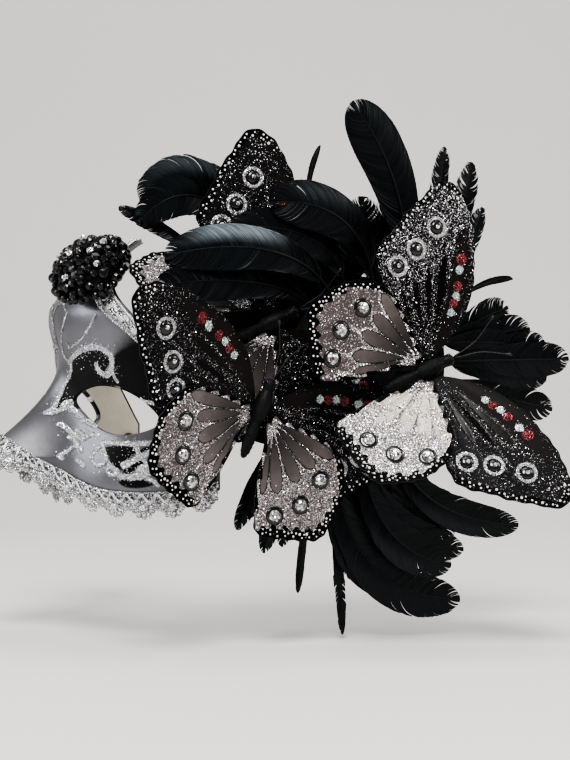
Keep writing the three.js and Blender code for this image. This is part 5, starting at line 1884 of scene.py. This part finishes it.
def feather_vane(n, out):
    spot = here(n)
    shade, clump = n.attribute("shade"), n.attribute("clump")
    cloud = n.noise(spot, 45.0, 3.0)
    tone = n.math("MULTIPLY", n.math("ADD", shade, clump), 0.5)
    base = n.mix(tone, (0.0012, 0.0013, 0.0015), (0.006, 0.0068, 0.008))
    base = n.mix(n.ramp(cloud, 0.5, 0.75), base, (0.003, 0.0058, 0.0072))
    # The painted sheen, a painted highlight, lightens the base colour to pale blue.
    n.put(n.mix(n.attribute("bloom"), base, (0.25, 0.30, 0.34)), out["Base Color"])
    n.put(n.ramp(tone, 0.1, 0.9, 0.26, 0.42), out["Roughness"])
    out["Specular IOR Level"].default_value = 0.3
    out["Specular Tint"].default_value = (0.88, 0.95, 1.0, 1.0)


SILVER_PAINT = material("silver_paint", silver_paint)
PAPIER = material("papier_mache", papier)
FLAKE = material("glitter_flake", metal_flake((0.3, 0.3, 0.32), (0.97, 0.97, 0.99)))
AQUA_FLAKE = material("pale_flake", metal_flake((0.45, 0.55, 0.55), (0.95, 1.0, 1.0)))
RED_FLAKE = material("red_flake", metal_flake((0.04, 0.006, 0.009), (0.5, 0.17, 0.18)))
LACE = material("lace_thread", lace_thread)
WIRE_SILVER = material("bright_wire", bright_wire)
LACE_GROUND = material("lace_ground", dark(
    (0.05, 0.05, 0.055), (0.2, 0.2, 0.21), 0.4, 0.6, metallic=0.8))
BLACK_METAL = material("black_metal", dark(
    (0.012, 0.012, 0.013), (0.03, 0.03, 0.032), 0.3, 0.45, metallic=0.6))
BEAD = material("black_glass_bead", dark(
    (0.003, 0.003, 0.004), (0.008, 0.008, 0.01), 0.05, 0.12, bump=0.02, level=0.55))
CRYSTAL = material("clear_stone", crystal)
FELT = material("felt", felt)
FORE_SHEET = material("forewing_print", wing_sheet(True))
HIND_SHEET = material("hindwing_print", wing_sheet(False))
EDGE_BLACK = material("wing_edge", dark((0.006, 0.006, 0.006), (0.02, 0.02, 0.02), 0.5, 0.7))
DOT = material("white_dot", white_dot)
STONE = material("domed_stone", crystal)
BLACK_STONE = material("black_stone", dark(
    (0.003, 0.003, 0.003), (0.009, 0.009, 0.01), 0.12, 0.25, bump=0.03, coat=0.5))
PLUSH = material("plush", dark((0.003, 0.003, 0.003), (0.012, 0.0115, 0.012), 0.45, 0.7, level=0.3))
WIRE = material("black_wire", dark((0.008, 0.008, 0.008), (0.025, 0.025, 0.025), 0.35, 0.55))
FEATHER = material("feather_vane", feather_vane)
RACHIS = material("feather_shaft", dark(
    (0.003, 0.003, 0.0035), (0.012, 0.0115, 0.011), 0.35, 0.5, level=0.3))
# In the order of the slot numbers that the builders use.
LACE_FINISHES = [LACE, WIRE_SILVER, FLAKE, LACE_GROUND]
WING_FINISHES = [EDGE_BLACK, FLAKE, DOT, STONE, BLACK_STONE, RED_FLAKE, AQUA_FLAKE]


# ---- stage --------------------------------------------------------------------------------
def backdrop_paint(n, out):
    cloud = n.noise(here(n), 1.5, 2.0)
    n.put(n.mix(cloud, (0.66, 0.645, 0.635), (0.72, 0.705, 0.695)), out["Base Color"])
    out["Roughness"].default_value = 0.9


def area_light(name, at, target, size, power, colour):
    light = bpy.data.lights.new(name, "AREA")
    light.shape, light.size, light.energy, light.color = "DISK", size, power, colour
    obj = bpy.data.objects.new(name, light)
    bpy.context.scene.collection.objects.link(obj)
    obj.location = at
    obj.rotation_euler = (Vector(target) - Vector(at)).to_track_quat("-Z", "Y").to_euler()


AZIMUTH = radians(68)  # of the camera, round from the face
FLOOR = -0.1465  # the lengths here are in metres
COVE_START, COVE_RADIUS, COVE_STEPS = 0.7, 0.9, 24
NEAR_END, WALL_TOP, HALF_SPAN = -2.2, 3.2, 3.2
AIM = (0.07, 0.1, 0.0)
CAMERA_PLACE, LENS, SENSOR = (0.8800, -0.2244, -0.0097), 78.9, 36
LIGHTS = {  # place, aim, size, power and colour
    "key": ((0.95, -0.25, 1.15), AIM, 0.6, 15, (1, 0.985, 0.96)),
    "fill_left": ((-0.25, -1.25, 0.45), AIM, 0.8, 4, (0.95, 0.97, 1)),
    "rim": ((0.5, 1.3, 0.8), AIM, 0.8, 5, (1, 0.98, 0.95)),
    "wall": ((0.0, 0.2, 2.2), (-1.0, 0.7, 0.2), 1.6, 14, (1, 0.985, 0.96))}
SKY, SKY_STRENGTH, EXPOSURE = (0.86, 0.85, 0.84, 1), 0.3, 0.4


def build_backdrop(view):
    """A pale floor that sweeps up into a wall behind the mask."""
    side = arr((view[1], -view[0], 0))
    centre = arr((0.05, 0.11, 0))
    profile = [(NEAR_END, 0.0), (COVE_START, 0.0)]
    profile += [(COVE_START + COVE_RADIUS * sin(a), COVE_RADIUS - COVE_RADIUS * cos(a))
                for a in np.linspace(0.05, pi / 2, COVE_STEPS)]
    profile += [(COVE_START + COVE_RADIUS, WALL_TOP)]
    across = np.linspace(-HALF_SPAN, HALF_SPAN, 9)
    verts = [centre + view * d + side * w + (0, 0, FLOOR + h) for d, h in profile for w in across]
    mesh = bpy.data.meshes.new("backdrop")
    faces = grid_faces(len(profile), len(across))
    mesh.from_pydata([v.tolist() for v in verts], [], faces.tolist())
    mesh.polygons.foreach_set("use_smooth", np.ones(len(mesh.polygons), bool))
    mesh.materials.append(material("backdrop", backdrop_paint))
    obj = bpy.data.objects.new("backdrop", mesh)
    bpy.context.scene.collection.objects.link(obj)


def build_camera(view):
    camera = bpy.data.cameras.new("camera")
    camera.sensor_fit, camera.sensor_width, camera.sensor_height = "VERTICAL", SENSOR, SENSOR
    camera.lens = LENS
    camera.clip_start = 0.01
    obj = bpy.data.objects.new("camera", camera)
    bpy.context.scene.collection.objects.link(obj)
    obj.location = CAMERA_PLACE
    obj.rotation_euler = Vector(view).to_track_quat("-Z", "Y").to_euler()
    bpy.context.scene.camera = obj


def build_stage():
    view = arr((-sin(AZIMUTH), cos(AZIMUTH), 0))
    build_backdrop(view)
    for name, light in LIGHTS.items():
        area_light(name, *light)
    world = bpy.data.worlds.new("studio")
    world.use_nodes = True
    background = world.node_tree.nodes["Background"]
    background.inputs["Color"].default_value = SKY
    background.inputs["Strength"].default_value = SKY_STRENGTH
    bpy.context.scene.world = world
    build_camera(view)
    settings = bpy.context.scene.view_settings
    settings.view_transform, settings.look = "AgX", "AgX - High Contrast"
    settings.exposure = EXPOSURE


# ---- the whole mask -----------------------------------------------------------------------
BODY_OF = {name: node["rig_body"] for name, node in frame["nodes"].items()}
build_shell()
build_lower_lace()
for label, side in (("left", 1), ("right", -1)):
    build_braid("upper_braid_" + label, side)
    build_eyelet("ribbon_eyelet_" + label, side)
build_brooch()
build_bases()
for feather_name, feather_shape in FEATHERS.items():
    build_feather(feather_name, feather_shape)
build_butterflies()
build_stage()
